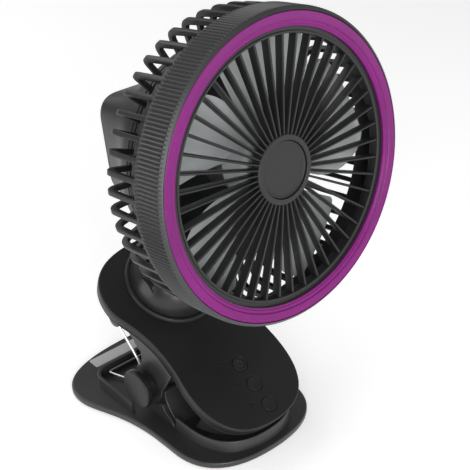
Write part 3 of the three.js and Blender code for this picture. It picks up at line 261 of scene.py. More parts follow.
# ---- materials ---------------------------------------------------------------------
def group(name, inputs, outputs):
    """Empty node group with the given sockets."""
    tree = bpy.data.node_groups.new(name, "ShaderNodeTree")
    for side, sockets in (("INPUT", inputs), ("OUTPUT", outputs)):
        for label, kind, value in sockets:
            s = tree.interface.new_socket(label, in_out=side, socket_type=kind)
            if side == "INPUT":
                s.default_value = value
    return tree, tree.nodes.new("NodeGroupInput"), tree.nodes.new("NodeGroupOutput")


def node(tree, kind, **values):
    """Node that takes the given values as inputs, or else as settings."""
    n = tree.nodes.new(kind)
    for k, v in values.items():
        if k in n.inputs:
            n.inputs[k].default_value = v
        else:
            setattr(n, k, v)
    return n


def moulded_group():
    """Moulded plastic: cloudy colour and roughness at hand scale, and a fine spark-eroded grain."""
    tree, gin, gout = group(
        "moulded",
        [("Colour", "NodeSocketColor", (0.05, 0.05, 0.05, 1)), ("Roughness", "NodeSocketFloat", 0.5),
         ("Grain", "NodeSocketFloat", 0.2), ("Grain size", "NodeSocketFloat", 1600.0)],
        [("Colour", "NodeSocketColor", None), ("Roughness", "NodeSocketFloat", None),
         ("Normal", "NodeSocketVector", None)])
    link = tree.links.new
    where = tree.nodes.new("ShaderNodeTexCoord")
    cloud = node(tree, "ShaderNodeTexNoise", Scale=22.0, Detail=3.0)
    grain = node(tree, "ShaderNodeTexNoise", Detail=2.0)
    for n in (cloud, grain):
        link(where.outputs["Object"], n.inputs["Vector"])
    link(gin.outputs["Grain size"], grain.inputs["Scale"])
    shade = node(tree, "ShaderNodeMapRange")
    for k, v in (("From Min", 0.3), ("From Max", 0.7), ("To Min", 0.9), ("To Max", 1.1)):
        shade.inputs[k].default_value = v
    link(cloud.outputs["Fac"], shade.inputs["Value"])
    tint = node(tree, "ShaderNodeVectorMath", operation="SCALE")
    link(gin.outputs["Colour"], tint.inputs[0])
    link(shade.outputs["Result"], tint.inputs["Scale"])
    link(tint.outputs["Vector"], gout.inputs["Colour"])
    rough = node(tree, "ShaderNodeMath", operation="MULTIPLY")
    link(gin.outputs["Roughness"], rough.inputs[0])
    link(shade.outputs["Result"], rough.inputs[1])
    link(rough.outputs["Value"], gout.inputs["Roughness"])
    bump = node(tree, "ShaderNodeBump", Distance=0.00008)
    link(grain.outputs["Fac"], bump.inputs["Height"])
    link(gin.outputs["Grain"], bump.inputs["Strength"])
    link(bump.outputs["Normal"], gout.inputs["Normal"])
    return tree


MOULDED = moulded_group()


def plastic(name, colour, rough, grain=0.25, size=1600.0, coat=0.0, specular=0.5, coat_rough=0.08):
    """Material whose colour, roughness and grain come from the moulded group."""
    mat = bpy.data.materials.new(name)
    mat.use_nodes = True
    tree = mat.node_tree
    shader = tree.nodes["Principled BSDF"]
    g = node(tree, "ShaderNodeGroup", node_tree=MOULDED)
    for k, v in (("Colour", (*colour, 1)), ("Roughness", rough), ("Grain", grain), ("Grain size", size)):
        g.inputs[k].default_value = v
    for a, b in (("Colour", "Base Color"), ("Roughness", "Roughness"), ("Normal", "Normal")):
        tree.links.new(g.outputs[a], shader.inputs[b])
    shader.inputs["Coat Weight"].default_value = coat
    shader.inputs["Coat Roughness"].default_value = coat_rough
    shader.inputs["Specular IOR Level"].default_value = specular
    return mat


MIX_A, MIX_B, MIX_RESULT = 6, 7, 2      # colour sockets of a mix node


def metal(name, colour, rough, scratch=0.15):
    """Drawn metal: roughness streaked by a noise stretched along X."""
    mat = bpy.data.materials.new(name)
    mat.use_nodes = True
    tree = mat.node_tree
    shader = tree.nodes["Principled BSDF"]
    shader.inputs["Metallic"].default_value = 1
    where = tree.nodes.new("ShaderNodeTexCoord")
    stretch = node(tree, "ShaderNodeMapping")
    stretch.inputs["Scale"].default_value = (60, 1400, 1400)
    noise = node(tree, "ShaderNodeTexNoise", Scale=1.0, Detail=2.0)
    tree.links.new(where.outputs["Object"], stretch.inputs["Vector"])
    tree.links.new(stretch.outputs["Vector"], noise.inputs["Vector"])
    ramp = node(tree, "ShaderNodeMapRange")
    for k, v in (("From Min", 0.25), ("From Max", 0.75),
                 ("To Min", rough - scratch / 2), ("To Max", rough + scratch)):
        ramp.inputs[k].default_value = v
    tree.links.new(noise.outputs["Fac"], ramp.inputs["Value"])
    tree.links.new(ramp.outputs["Result"], shader.inputs["Roughness"])
    tint = node(tree, "ShaderNodeMix", data_type="RGBA")
    tint.inputs[MIX_A].default_value = (*[v * (1 - scratch) for v in colour], 1)
    tint.inputs[MIX_B].default_value = (*colour, 1)
    tree.links.new(noise.outputs["Fac"], tint.inputs[0])
    tree.links.new(tint.outputs[MIX_RESULT], shader.inputs["Base Color"])
    return mat


CHARCOAL = plastic("band_charcoal", (0.031, 0.031, 0.033), 0.38, 0.2)
CAGE = plastic("cage_charcoal", (0.012, 0.012, 0.013), 0.4, 0.3, specular=0.36)
CLIP = plastic("clip_charcoal", (0.012, 0.012, 0.013), 0.4, 0.35, 1900, specular=0.35)
# lighter copy of the clip's charcoal, for the lower jaw and the jaw's underside: its extra tone is painted
# light
CLIP_LIT = plastic("clip_charcoal_lit", (0.026, 0.026, 0.027), 0.34, 0.3, 1900, specular=0.6)
GRILLE = plastic("grille_black", (0.014, 0.014, 0.015), 0.42, 0.15, specular=0.42)
HUB = plastic("hub_black", (0.014, 0.014, 0.015), 0.5, 0.3, 2400, specular=0.42)
TRIM = plastic("trim_purple", (0.185, 0.006, 0.152), 0.28, 0.04, 900, coat=0.05, specular=0.25)
BLADE = plastic("blade_grey", (0.42, 0.44, 0.44), 0.42, 0.08)
DOME = plastic("dome_black", (0.014, 0.014, 0.015), 0.27, 0.05)
SIGN = plastic("sign_grey", (0.035, 0.035, 0.036), 0.4, 0.05)
BUTTON = plastic("button_black", (0.013, 0.013, 0.014), 0.36, 0.2, 2400, specular=0.4)
RUBBER = plastic("pad_rubber", (0.01, 0.01, 0.01), 0.7, 0.5, 2600, specular=0.25)
LAMP = plastic("lamp_lens", (0.012, 0.012, 0.013), 0.2, 0.02)
PLATE = plastic("bare_plate", (0.5, 0.5, 0.51), 0.35, 0.05)
BOARD = plastic("board_green", (0.02, 0.13, 0.05), 0.4, 0.1)
CELL = plastic("cell_sleeve", (0.05, 0.14, 0.4), 0.3, 0.1)
STEEL = metal("pin_steel", (0.6, 0.61, 0.62), 0.3)
WIRE_METAL = metal("spring_bright", (0.88, 0.88, 0.9), 0.3, 0.02)
BRONZE = metal("bush_bronze", (0.55, 0.38, 0.2), 0.45)

for names, material in (
        (("motor_can", "motor_shaft", "tilt_pin", "pivot_pin", "charging_socket"), STEEL),
        (("bush_front", "bush_rear"), BRONZE), (("circuit_board",), BOARD),
        (("battery_front", "battery_rear"), CELL)):
    for name in names:
        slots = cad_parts[name].data.materials
        slots.clear()
        slots.append(material)

# ---- fan head: y back along the fan's axis, z up its face ----------------------------
BAND_R, BAND_BACK, BAND_IN = 91.4, 22.0, 88.3       # outside, rear end and inside
TRIM_R, TRIM_W, TRIM_T = 88.6, 8.4, 3.4             # outside, width and thickness
OPENING, FACE = 75.5, 3.3                           # air opening, and depth of the ribs' front
FLANGE_FRONT = TRIM_T + GAP
FLANGE_BACK = FLANGE_FRONT + 2.3
LIP = FLANGE_BACK + GAP
RIBS, RIB_PHASE, HUB_R, CAP_R = 45, 3.3, 20.5, 16.7
RIDGES = 240
GROOVE = 1.1                                        # depth between two ridges
BEVEL, BEVEL_BACK = 0.3, 1.9                        # band's front edge, in and back
RIDGE_FRONT, RIDGE_BACK = 2.0, 21.5                 # depths where the ridges begin and end


def band():
    """Ring whose outside radius falls between ridges by a rounded cosine, fading out at both ends."""
    skin = Skin(HEAD)
    rim = fillet([(TRIM_R + GAP, 0.6), (TRIM_R + GAP, 0), (BAND_R - BEVEL, BEVEL_BACK)], [0, 0.25, 0], 3,
                 closed=False)[:-1]
    back = np.array([(BAND_R - 0.5, BAND_BACK), (BAND_IN, BAND_BACK), (BAND_IN, LIP + 2),
                     (BAND_IN - 5, LIP + 2), (BAND_IN - 5, LIP), (TRIM_R + GAP, LIP)])
    depth = np.concatenate([[BEVEL_BACK, 2.1, 2.35, 2.7, 3.5], np.linspace(5, 19, 6),
                            [20.3, 20.9, 21.3, 21.6, 21.9]])
    a = np.linspace(0, 2 * math.pi, RIDGES * 8, endpoint=False)[:, None]
    turn = a[:, 0]
    fade = np.clip((depth - RIDGE_FRONT) / 0.6, 0, 1) * np.clip((RIDGE_BACK - depth) / 1.0, 0, 1)
    groove = 0.5 - 0.5 * np.cos(RIDGES * a)
    ends = BEVEL * np.clip((3.5 - depth) / 1.6, 0, 1), BEVEL * np.clip((depth - RIDGE_BACK) / 0.4, 0, 1)
    radius = BAND_R - ends[0] - ends[1] - GROOVE * groove * fade

    def row(r, d):
        return np.stack([r * np.cos(turn), np.full(len(turn), d), r * np.sin(turn)], -1)

    rows = [row(r, d) for r, d in rim]
    rows += [row(radius[:, k], d) for k, d in enumerate(depth)]
    rows += [row(r, d) for r, d in back]
    skin.grid(np.array(rows), wrap_i=True, wrap_j=True)
    return make(skin, "band", "head_body", CHARCOAL, "front_bezel", 50)


def trim():
    """Coloured ring with two shallow steps down to the grille."""
    skin, inner = Skin(HEAD), TRIM_R - TRIM_W
    face = fillet(
        [(inner, TRIM_T), (inner, 1.75), (inner + 0.9, 1.6), (inner + 1.3, 1.1), (inner + 2.9, 0.95),
         (inner + 3.2, 0.45), (inner + 3.6, 0.1), (TRIM_R - 0.5, 0.0), (TRIM_R, 0.5), (TRIM_R, TRIM_T)],
        [0, 0.3, 0.2, 0.15, 0.2, 0.1, 0.3, 0.4, 0.4, 0], 4)
    revolve(skin, face, 300)
    return make(skin, "trim", "head_body", TRIM, "trim_ring")


def grille():
    """Frame ring and hub joined by 45 radial ribs with rounded front edges, thinner towards the hub."""
    skin, out, flange = Skin(HEAD), TRIM_R - TRIM_W - GAP, BAND_IN - GAP
    ring = fillet(
        [(OPENING, FACE + 4), (OPENING + 0.6, FACE - 0.2), (OPENING + 1.9, FACE - 0.4),
         (OPENING + 2.2, FACE + 0.3), (out, FACE + 0.3), (out, FLANGE_FRONT), (flange, FLANGE_FRONT),
         (flange, FLANGE_BACK), (out + 1, FLANGE_BACK), (OPENING, FACE + 6)],
        [0.3, 0.4, 0.3, 0.1, 0, 0, 0.2, 0.2, 0, 0.5], 4)
    revolve(skin, ring, 270)
    hub = fillet(
        [(0, FACE + 2.6), (CAP_R + GAP, FACE + 2.6), (CAP_R + GAP, FACE - 0.3), (HUB_R, FACE),
         (HUB_R, FACE + 7), (0, FACE + 7)], [0, 0, 0.4, 0.8, 0.5, 0], 4)
    revolve(skin, hub, 180, closed=False)
    t = np.linspace(0, 1, 10)[:, None]
    radius = HUB_R - 1 + t * (OPENING - HUB_R + 3.6)
    half = 0.62 + 0.26 * t
    edge = np.array([(-1, 0.9), (-1, 0.16), (-0.8, 0.05), (-0.4, 0), (0.4, 0), (0.8, 0.05), (1, 0.16),
                     (1, 0.9), (0.7, 1), (-0.7, 1)])
    rib = np.stack([radius + 0 * edge[:, 0], FACE + 0.35 + 5.9 * edge[:, 1] + 0 * radius,
                    half * edge[:, 0]], -1)
    for k in range(RIBS):
        a = (RIB_PHASE + k * 360 / RIBS) * RAD
        x = rib[..., 0] * math.cos(a) - rib[..., 2] * math.sin(a)
        z = rib[..., 0] * math.sin(a) + rib[..., 2] * math.cos(a)
        turned = np.stack([x, rib[..., 1], z], -1)
        skin.grid(turned, wrap_j=True)
        skin.cap(turned[0])
        skin.cap(turned[-1])
    return make(skin, "grille", "head_body", GRILLE, "front_grille")


def cap():
    """Shallow disc in the hub, very slightly domed."""
    skin, face = Skin(HEAD), FACE + 0.9
    r = np.linspace(0, CAP_R - 1.5, 8)
    dome = [(a, face - 0.25 * (1 - (a / CAP_R) ** 2)) for a in r]
    rim = fillet(
        [(CAP_R - 1.5, face), (CAP_R - 1.1, face - 0.3), (CAP_R, face - 0.3), (CAP_R, FACE + 2.3),
         (0, FACE + 2.3)], [0.2, 0.2, 0.4, 0, 0], 3, closed=False)
    revolve(skin, np.vstack([dome[:-1], rim]), 180, closed=False)
    return make(skin, "cap", "head_body", HUB, "hub_cap")


FINS, FIN_PHASE = 50, 2.4
PLATE_R, PLATE_BACK = 66.0, 57.3
BAR_PATH = [(88.75, 21.7), (88.35, 36), (87.3, 52.4), (68.6, 52.45)]      # radius and depth
BAR_BENDS = [0, 60, 6.5, 0]


def cage():
    """Fifty bars bent from the band to the motor plate: a rounded section carried along a filleted path."""
    skin = Skin(HEAD)
    path = fillet(BAR_PATH, BAR_BENDS, 8, closed=False)
    way = np.gradient(path, axis=0)
    way /= np.linalg.norm(way, axis=1, keepdims=True)
    normal = np.stack([way[:, 1], -way[:, 0]], -1)
    section = fillet([(-1, -1), (1, -1), (1, 1), (-1, 1)], 0.3, 3)
    wide = spline([0, 0.12, 0.3, 1], [1.5, 1.8, 1.95, 1.85], np.linspace(0, 1, len(path)))[:, None]
    r = path[:, :1] + normal[:, :1] * wide * section[:, 0]
    d = path[:, 1:] + normal[:, 1:] * wide * section[:, 0]
    thick = 1.5 * section[:, 1] + 0 * r
    for k in range(FINS):
        a = (FIN_PHASE + k * 360 / FINS) * RAD
        bar = np.stack([r * math.cos(a) - thick * math.sin(a), d, r * math.sin(a) + thick * math.cos(a)], -1)
        skin.grid(bar, wrap_j=True)
        skin.cap(bar[0])
        skin.cap(bar[-1])
    duct = BAND_IN - GAP
    revolve(skin, fillet([(duct - 2.6, 11), (duct, 11), (duct, 29), (duct - 2.6, 29)], 0.6, 3), 240)
    inside, outside = PLATE_R + GAP, PLATE_R + 4
    revolve(skin, fillet([(inside, 50.5), (outside, 50.5), (outside, 54), (inside, 54)], 0.5, 3), 240)
    return make(skin, "cage", "head_body", CAGE, "rear_cage")


def motor_plate():
    """Flat disc behind the bars, with a bore for the motor."""
    skin, bore = Skin(HEAD), 10
    section = fillet(
        [(bore, 54.7), (PLATE_R, 54.7), (PLATE_R + 4, 54.9), (PLATE_R + 4, PLATE_BACK), (bore, PLATE_BACK)],
        [0, 0.3, 0.6, 0.6, 0], 3)
    revolve(skin, section, 240)
    return make(skin, "plate_disc", "head_body", CAGE, "motor_plate")


def housing_plan(depth):
    """Loop of the rear face: flat crown, round shoulders and sides that run in to the arm."""
    half, top, neck, low = 55 - depth, 44 - depth, 22 - depth, -56 + depth
    corner = 14 - depth * 0.5
    side = [np.linspace((0, top), (half - corner, top), 18, endpoint=False),
            bezier((half - corner, top), (half - corner / 3, top), (half, top - corner / 3),
                   (half, top - corner), 12),
            np.linspace((half, top - corner), (half, -6), 16, endpoint=False),
            bezier((half, -6), (half, -20), (neck + 4, low + 26), (neck, low + 6), 26),
            bezier((neck, low + 6), (neck, low + 2), (neck - 2, low), (neck - 6, low), 8),
            np.linspace((neck - 6, low), (0, low), 8, endpoint=False), [(0, low)]]
    right = np.vstack(side)
    return np.vstack([right, (right[1:-1] * (-1, 1))[::-1]])


def tilt_pin_in_head():
    """Centre of the tilt pin, seen from the head."""
    return into(HEAD, place([0, DOME_S, DOME_N + PIN_RISE], JAW) / MM)


def housing():
    """Skin blended from the motor plate's circle to the rear plan, with the arm lofted down from it."""
    skin = Skin(HEAD)
    front, edge, back, radius = PLATE_BACK + GAP, 96.0, 101.0, 70.0
    def ring(depth, blend, cut):
        plan = housing_plan(cut)
        round_ = plan / np.linalg.norm(plan, axis=1, keepdims=True) * (radius - cut)
        mixed = round_ * (1 - blend) + plan * blend
        return np.stack([mixed[:, 0], np.full(len(mixed), depth), mixed[:, 1]], -1)
    rings = [ring(front, 0, 3), ring(front, 0, 0.8), ring(front + 0.15, 0, 0.3), ring(front + 0.6, 0, 0)]
    for d in np.linspace(front + 1.5, edge - 1, 22):
        share = np.array([(d - front) / (edge - front)])
        blend = float(spline([0, 0.156, 0.5, 1], [0, 0.08, 0.5, 1], share)[0])
        rings.append(ring(d, blend, 0))
    for a in np.linspace(0, math.pi / 2, 9):
        rings.append(ring(edge + 5 * math.sin(a), 1, 5 * (1 - math.cos(a))))
    rings.append(ring(back, 1, 6))
    skin.grid(rings, wrap_j=True)
    skin.cap(rings[-1])
    skin.cap(rings[0])
    pin = tilt_pin_in_head()
    u = [pin[2], pin[2] + 21, -70, -52, -32]
    table = np.array([(10, pin[1] - 9, pin[1] + 7), (10, pin[1] - 26, pin[1] - 7), (13, 90, 107),
                      (20, 74, 100), (26, 62, 98)])
    at = np.linspace(u[0], u[-1], 40)
    sizes = spline(u, table, at)
    rings = []
    for (half, near, far), z in zip(sizes, at):
        corner = min(half, (far - near) / 2) * 0.62
        box = fillet([(-half, near), (half, near), (half, far), (-half, far)], corner, 6)
        rings.append(np.stack([box[:, 0], box[:, 1], np.full(len(box), z)], -1))
    skin.grid(rings, wrap_j=True)
    skin.cap(rings[0])
    skin.cap(rings[-1])
    return make(skin, "rear_shell", "head_body", CAGE, "rear_housing")


def knuckle():
    """Drum at the arm's foot, round the tilt pin, inside the dome's slot."""
    skin, pin, bore, radius, half = Skin(HEAD), tilt_pin_in_head(), 2.85, 12.6, 10
    drum = fillet([(bore, -half), (radius, -half), (radius, half), (bore, half)], [0.3, 0.8, 0.8, 0.3], 4)
    revolve(skin, drum, 96, axis="x", centre=(0, pin[1], pin[2]))
    return make(skin, "tilt_drum", "head_body", RUBBER)


def rotor():
    """Five cambered blades: radius by span, angle and rise by chord, thickness closing to rounded edges."""
    skin, blades = Skin(HEAD), 5
    hub, front, length, tip = 21.0, 15.0, 19.0, 79.3
    t = np.linspace(0, 1, 30)[:, None]
    psi = np.linspace(0, 2 * math.pi, 48, endpoint=False)[None]
    c = 0.5 - 0.5 * np.cos(psi)
    side = np.sign(np.sin(psi)) * np.sqrt(np.clip(1 - np.abs(np.cos(psi)) ** 6, 0, 1))
    r = hub - 1.5 + t * (tip - hub + 1.5)
    chord = 54 * (0.72 + 0.34 * np.sin(math.pi * np.minimum(1, 0.15 + 0.75 * t)))
    chord = chord * np.where(t > 0.93, np.sqrt(np.clip(1 - ((t - 0.93) / 0.07) ** 2 * 0.35, 0, 1)), 1)
    angle = (14 * t * t + chord * (c - 0.5)) * RAD
    thick = 1.7 * (0.45 + 0.55 * np.sin(math.pi * c))
    rise = 17 * (1.05 - 0.3 * t) * (c - 0.5)
    camber = 2.2 * np.sin(math.pi * c)
    depth = front + length / 2 + 0.5 + rise + camber + side * thick / 2
    for k in range(blades):
        a = angle + k * 2 * math.pi / blades
        p = np.stack([r * np.cos(a), depth, r * np.sin(a)], -1)
        skin.grid(p, wrap_j=True)
        skin.cap(p[0])
        skin.cap(p[-1])
    back = front + length
    section = fillet(
        [(0, front), (hub - 3, front), (hub, front + 3), (hub, back), (hub - 2, back), (hub - 2, front + 3.5),
         (4.3, front + 3.5), (4.3, 33.0), (2.3, 33.0), (2.3, front + 2), (0, front + 2)],
        [0, 2.5, 2.5, 0.6, 0.5, 0.5, 0, 0.3, 0, 0, 0], 4)
    revolve(skin, section, 120, closed=False)
    return make(skin, "rotor", "rotor_body", BLADE, "fan_rotor", 45)


# ---- neck --------------------------------------------------------------------------
DOME_R, DOME_IN = 31.0, 28.0
SLOT_HALF = 10.35                           # half the slot's width
SLOT_WALLS = ((39 * RAD, 8.35), (-49 * RAD, -8.35))      # lean of each end wall, and its offset


def slot_angles(radius):
    """Angles in the side plane at which the tilt slot's two walls meet a sphere of this radius."""
    found = []
    for lean, across in SLOT_WALLS:
        along = np.linspace(0, 60, 6001)
        y = -along * math.sin(lean) - across * math.cos(lean)
        z = PIN_RISE + along * math.cos(lean) - across * math.sin(lean)
        k = np.argmin(np.abs(np.hypot(y, z) - radius))
        found.append(math.atan2(z[k], y[k]))
    return sorted(found)


def dome():
    """Half sphere drawn by side planes, so that the slot for the arm is a rectangle of its grid."""
    skin, half = Skin(NECK), SLOT_HALF
    left, right, low, high = 25, 37, 19, 48         # columns and rows of the grid at the slot's edges
    faces = []
    for radius in (DOME_R, DOME_IN):
        lo, hi = slot_angles(radius)
        side = radius * np.cos(np.linspace(0, math.acos(half / radius), left + 1))
        x = np.concatenate([-side[:-1], np.linspace(-half, half, right - left + 1), side[::-1][1:]])
        phi = np.concatenate([np.linspace(0, lo, low + 1)[:-1], np.linspace(lo, hi, high - low + 1),
                              np.linspace(hi, math.pi, low + 1)[1:]])
        rho = np.sqrt(np.clip(radius ** 2 - x ** 2, 0, None))[:, None]
        p = np.stack([x[:, None] + 0 * phi, rho * np.cos(phi), rho * np.sin(phi)], -1)
        keep = np.ones((len(x) - 1, len(phi) - 1), bool)
        keep[left:right, low:high] = False
        skin.grid(p, keep=keep)
        faces.append(p)
    a, b = faces
    for i in (left, right):
        quad_strip(skin, a[i, low:high + 1], b[i, low:high + 1])
    for j in (low, high):
        quad_strip(skin, a[left:right + 1, j], b[left:right + 1, j])
    for j in (0, -1):
        quad_strip(skin, a[:, j], b[:, j])
    flange = 33.4
    foot = fillet([(DOME_IN, 1.2), (flange, 1.2), (flange, -0.75), (DOME_IN, -0.75)], 0.3, 2)
    revolve(skin, foot, 160, axis="z")
    bore, boss = 2.8, 8
    for hand in (-1, 1):
        ends = sorted((hand * SLOT_HALF, hand * 25.5))
        section = [(bore, ends[0]), (boss, ends[0]), (boss, ends[1]), (bore, ends[1])]
        revolve(skin, section, 40, axis="x", centre=(0, 0, PIN_RISE))
    return make(skin, "dome", "neck_body", DOME, "neck_dome")


def collar():
    """Raised ring round the dome, with a soft crown."""
    skin, low, high = Skin(JAW), 0.3, 2.7

    def inner(n):
        return math.sqrt(DOME_R ** 2 - (n - DOME_N) ** 2) + RUN / 2

    loop = fillet([(inner(low), low), (33.6, low), (33.3, 1.2), (32.4, high), (inner(high), high)],
                  [0, 0.1, 1.0, 1.2, 0.1], 6)
    revolve(skin, loop, 240, axis="z", centre=(0, DOME_S, 0))
    return make(skin, "collar", "upper_jaw_body", CLIP, "socket_collar")


# ---- upper jaw: y up its slope, z out of its top face --------------------------------
UPPER = dict(length=157, front=41, front_at=42, waist=39.5, waist_at=66, rear=52, rear_at=121)
LOWER = dict(length=159.5, front=53, front_at=41, waist=53, waist_at=52, rear=68.5, rear_at=126)
MOUTH = dict(length=130, front=39.5, front_at=40, waist=39.2, waist_at=60, rear=39.2, rear_at=90)
TOP_BACK = -2.4                 # underside of the top plate
FLOOR_TOP = -8.9
CELL_DROP, WALL = 18.6, 1.6     # depth of the cells' box, and its wall
EAR_OUT, EAR_IN = 39.2, 36.8
EAR_R, EAR_FRONT = 14.2, 61.5
LUG_S, LUG_N = 118, -16         # centre of the spring lug


def half_plan(p, cut, count=26):
    """Right half of a jaw's loop, from its tip over its front, waist and rear to its end."""
    f, w, r = p["front"] - cut, p["waist"] - cut, p["rear"] - cut
    tip, end, sq = cut, p["length"] - cut, 0.67
    fa, wa, ra = p["front_at"], p["waist_at"], p["rear_at"]
    step, run = (wa - fa) / 2, ra - wa
    return np.vstack([bezier((0, tip), (f * sq, tip), (f, fa - (fa - tip) * sq), (f, fa), count),
                      bezier((f, fa), (f, fa + step), (w, wa - step), (w, wa), count // 3),
                      bezier((w, wa), (w, wa + run * 0.6), (r, ra - run * 0.24), (r, ra), count),
                      bezier((r, ra), (r, ra + (end - ra) * sq), (r * sq, end), (0, end), count), [(0, end)]])


def plan(p, cut, count=26):
    """Bell-shaped loop of a jaw, drawn inset by cut all round."""
    right = half_plan(p, cut, count)
    return np.vstack([right, (right[1:-1] * (-1, 1))[::-1]])


def at_level(loop, z):
    """2-D points, all at one height."""
    return np.column_stack([loop, np.full(len(loop), z)])


PIVOT = (4.0, 26.0)             # along the table and above it
BUTTONS = [(4.0, s) for s in (44.5, 28.0, 11.5)]
LAMPS = [(-7.5, s + 5.5) for _, s in BUTTONS]


def top_shell():
    """Flat top with holes, rounded edge, and a rim that curves in as it goes down; open underneath."""
    skin, edge = Skin(JAW), 0.8
    steps = [(1.6, 0.0)] + [(edge * (1 - math.sin(a)), -edge * (1 - math.cos(a)))
                            for a in np.linspace(0, math.pi / 2, 6)]
    steps += [(0.0, -1.3), (0.12, -1.42), (0.12, -1.62)]
    steps += [(0.05 + 0.95 * v ** 1.8, -1.75 - 6.5 * v) for v in np.linspace(0, 1, 9)]
    steps += [(1.1, -8.5), (1.4, -8.6), (2.9, -8.6), (3.05, -8.5), (2.4, -2.9), (2.5, TOP_BACK),
              (3.4, TOP_BACK)]
    rings = np.array([at_level(plan(UPPER, c), n) for c, n in steps])
    skin.grid(rings, wrap_j=True)
    holes = [((0, DOME_S), 31.35, 200)] + [(at, 5.5, 48) for at in BUTTONS] + [(at, 1.1, 20) for at in LAMPS]
    for centre, radius, count in holes:
        edge = min(0.35, radius * 0.2)
        drop = [(radius + edge * 1.6, 0.0)]
        drop += [(radius + edge * (1 - math.sin(a)), -edge * (1 - math.cos(a)))
                 for a in np.linspace(0, math.pi / 2, 4)]
        drop += [(radius, TOP_BACK)]
        skin.grid([at_level(circle(r, count, centre), n) for r, n in drop], wrap_j=True)
    for cut, n, grow in ((1.6, 0.0, 1.6), (3.4, TOP_BACK, 0)):
        loops = [circle(r + min(0.35, r * 0.2) * grow, count, centre) for centre, r, count in holes]
        skin.region(plan(UPPER, cut), loops, lambda q: at_level(q, n))
    return make(skin, "jaw_top", "upper_jaw_body", CLIP, "upper_jaw_top")


def ear_loop(s, n):
    """Ear about the pivot, its rear edge rising to the spring lug."""
    meet = math.acos((s - EAR_FRONT) / EAR_R)
    arc = np.linspace(math.pi - meet, 2 * math.pi + 0.5, 40)
    round_ = np.stack([s + EAR_R * np.cos(arc), n + EAR_R * np.sin(arc)], -1)
    last = round_[-1]
    rise = bezier(last, last + (1.5, 5), (s + 15.5, n + 17), (s + 21, n + 17.8), 12)[1:]
    tail = fillet([(s + 21, n + 17.8), (109, -20.4), (LUG_S, -22), (124, LUG_N), (126, -9.1)],
                  [0, 3, 5.5, 5.5, 0], 6, closed=False)
    return np.vstack([[(EAR_FRONT, -9.1)], round_, rise, tail])


def belly():
    """Underside of the upper jaw: a floor, the cells' box with rounded edges, two ears and two lugs."""
    skin = Skin(JAW)
    steps = [(8, -11.5), (5.4, -11.5), (4.6, -11.4), (3.4, -11.0), (2.0, -10.4), (1.2, -9.6), (1.0, -9.2),
             (1.05, -8.95), (1.5, FLOOR_TOP), (4, FLOOR_TOP)]
    rings = [at_level(plan(UPPER, c), n) for c, n in steps]
    skin.grid(rings, wrap_j=True)
    skin.cap(rings[0])
    skin.cap(rings[-1])
    low = FLOOR_TOP - CELL_DROP - WALL
    box = fillet([(63.5, -9.5), (63.5, low), (102, low), (108, -9.5)], [0, 2.5, 4, 0], 6)
    prism(skin, box, -36, 36, WALL, axis="x", steps=5)
    _, s, n = into(JAW, (0, *PIVOT))
    for hand in (-1, 1):
        prism(skin, ear_loop(s, n), *sorted((hand * EAR_IN, hand * EAR_OUT)), 0.5, axis="x")
        ends = sorted((hand * 38, hand * 45))
        lug = fillet([(0, ends[0]), (6, ends[0]), (6, ends[1]), (0, ends[1])], [0, 0.8, 0.8, 0], 4)
        revolve(skin, lug, 48, closed=False, axis="x", centre=(0, LUG_S, LUG_N))
    return make(skin, "jaw_belly", "upper_jaw_body", CLIP_LIT, "upper_jaw_belly")


def button(i):
    """Round key with a soft edge and a shallow dish."""
    skin, (x, s) = Skin(JAW), BUTTONS[i]
    dish = [(r, 0.3 - 0.22 * (1 - (r / 4.6) ** 2)) for r in np.linspace(0, 4.4, 8)]
    rest = fillet(
        [(4.6, 0.3), (5.2, 0.3), (5.2, -2.7), (6.2, -2.7), (6.2, -3.7), (2, -3.7), (2, -6.1), (0, -6.1)],
        [0.3, 0.4, 0, 0.2, 0.2, 0, 0, 0], 4, closed=False)
    revolve(skin, np.vstack([dish, rest[1:]]), 64, closed=False, axis="z", centre=(x, s, 0))
    return make(skin, f"key_{i + 1}", f"button_{i + 1}_body", BUTTON, f"button_{i + 1}")


def power_sign():
    """Generic on-off sign raised on the first key: an open ring and a bar."""
    skin, (x, s) = Skin(JAW), BUTTONS[0]
    turn = np.linspace(120, 420, 40) * RAD
    arc = [np.stack([x + r * np.cos(turn), s + r * np.sin(turn)], -1) for r in (2.2, 1.75)]
    prism(skin, np.vstack([arc[0], arc[1][::-1]]), -0.1, 0.19, 0.05)
    bar = [(x - 0.22, s + 0.8), (x + 0.22, s + 0.8), (x + 0.22, s + 2.7), (x - 0.22, s + 2.7)]
    prism(skin, bar, -0.1, 0.19, 0.05)
    return make(skin, "key_sign", "button_1_body", SIGN)


def lamp(i):
    """Light guide with a rounded end, a little below the top face."""
    skin, (x, s) = Skin(JAW), LAMPS[i]
    section = [(0, -0.1), (0.5, -0.13), (0.8, -0.3), (0.8, -6.4), (0, -6.4)]
    revolve(skin, section, 20, closed=False, axis="z", centre=(x, s, 0))
    return make(skin, f"lamp_{i + 1}", "upper_jaw_body", LAMP, f"indicator_{i + 1}")


# ---- lower jaw -------------------------------------------------------------------------
FRONT = -LOWER["length"] / 2
MOUTH_AT, MOUTH_REAR = FRONT + 5, -24
FOOT_Z = 4.2                    # where the walls on the plate begin
BEARER_R = 8.6


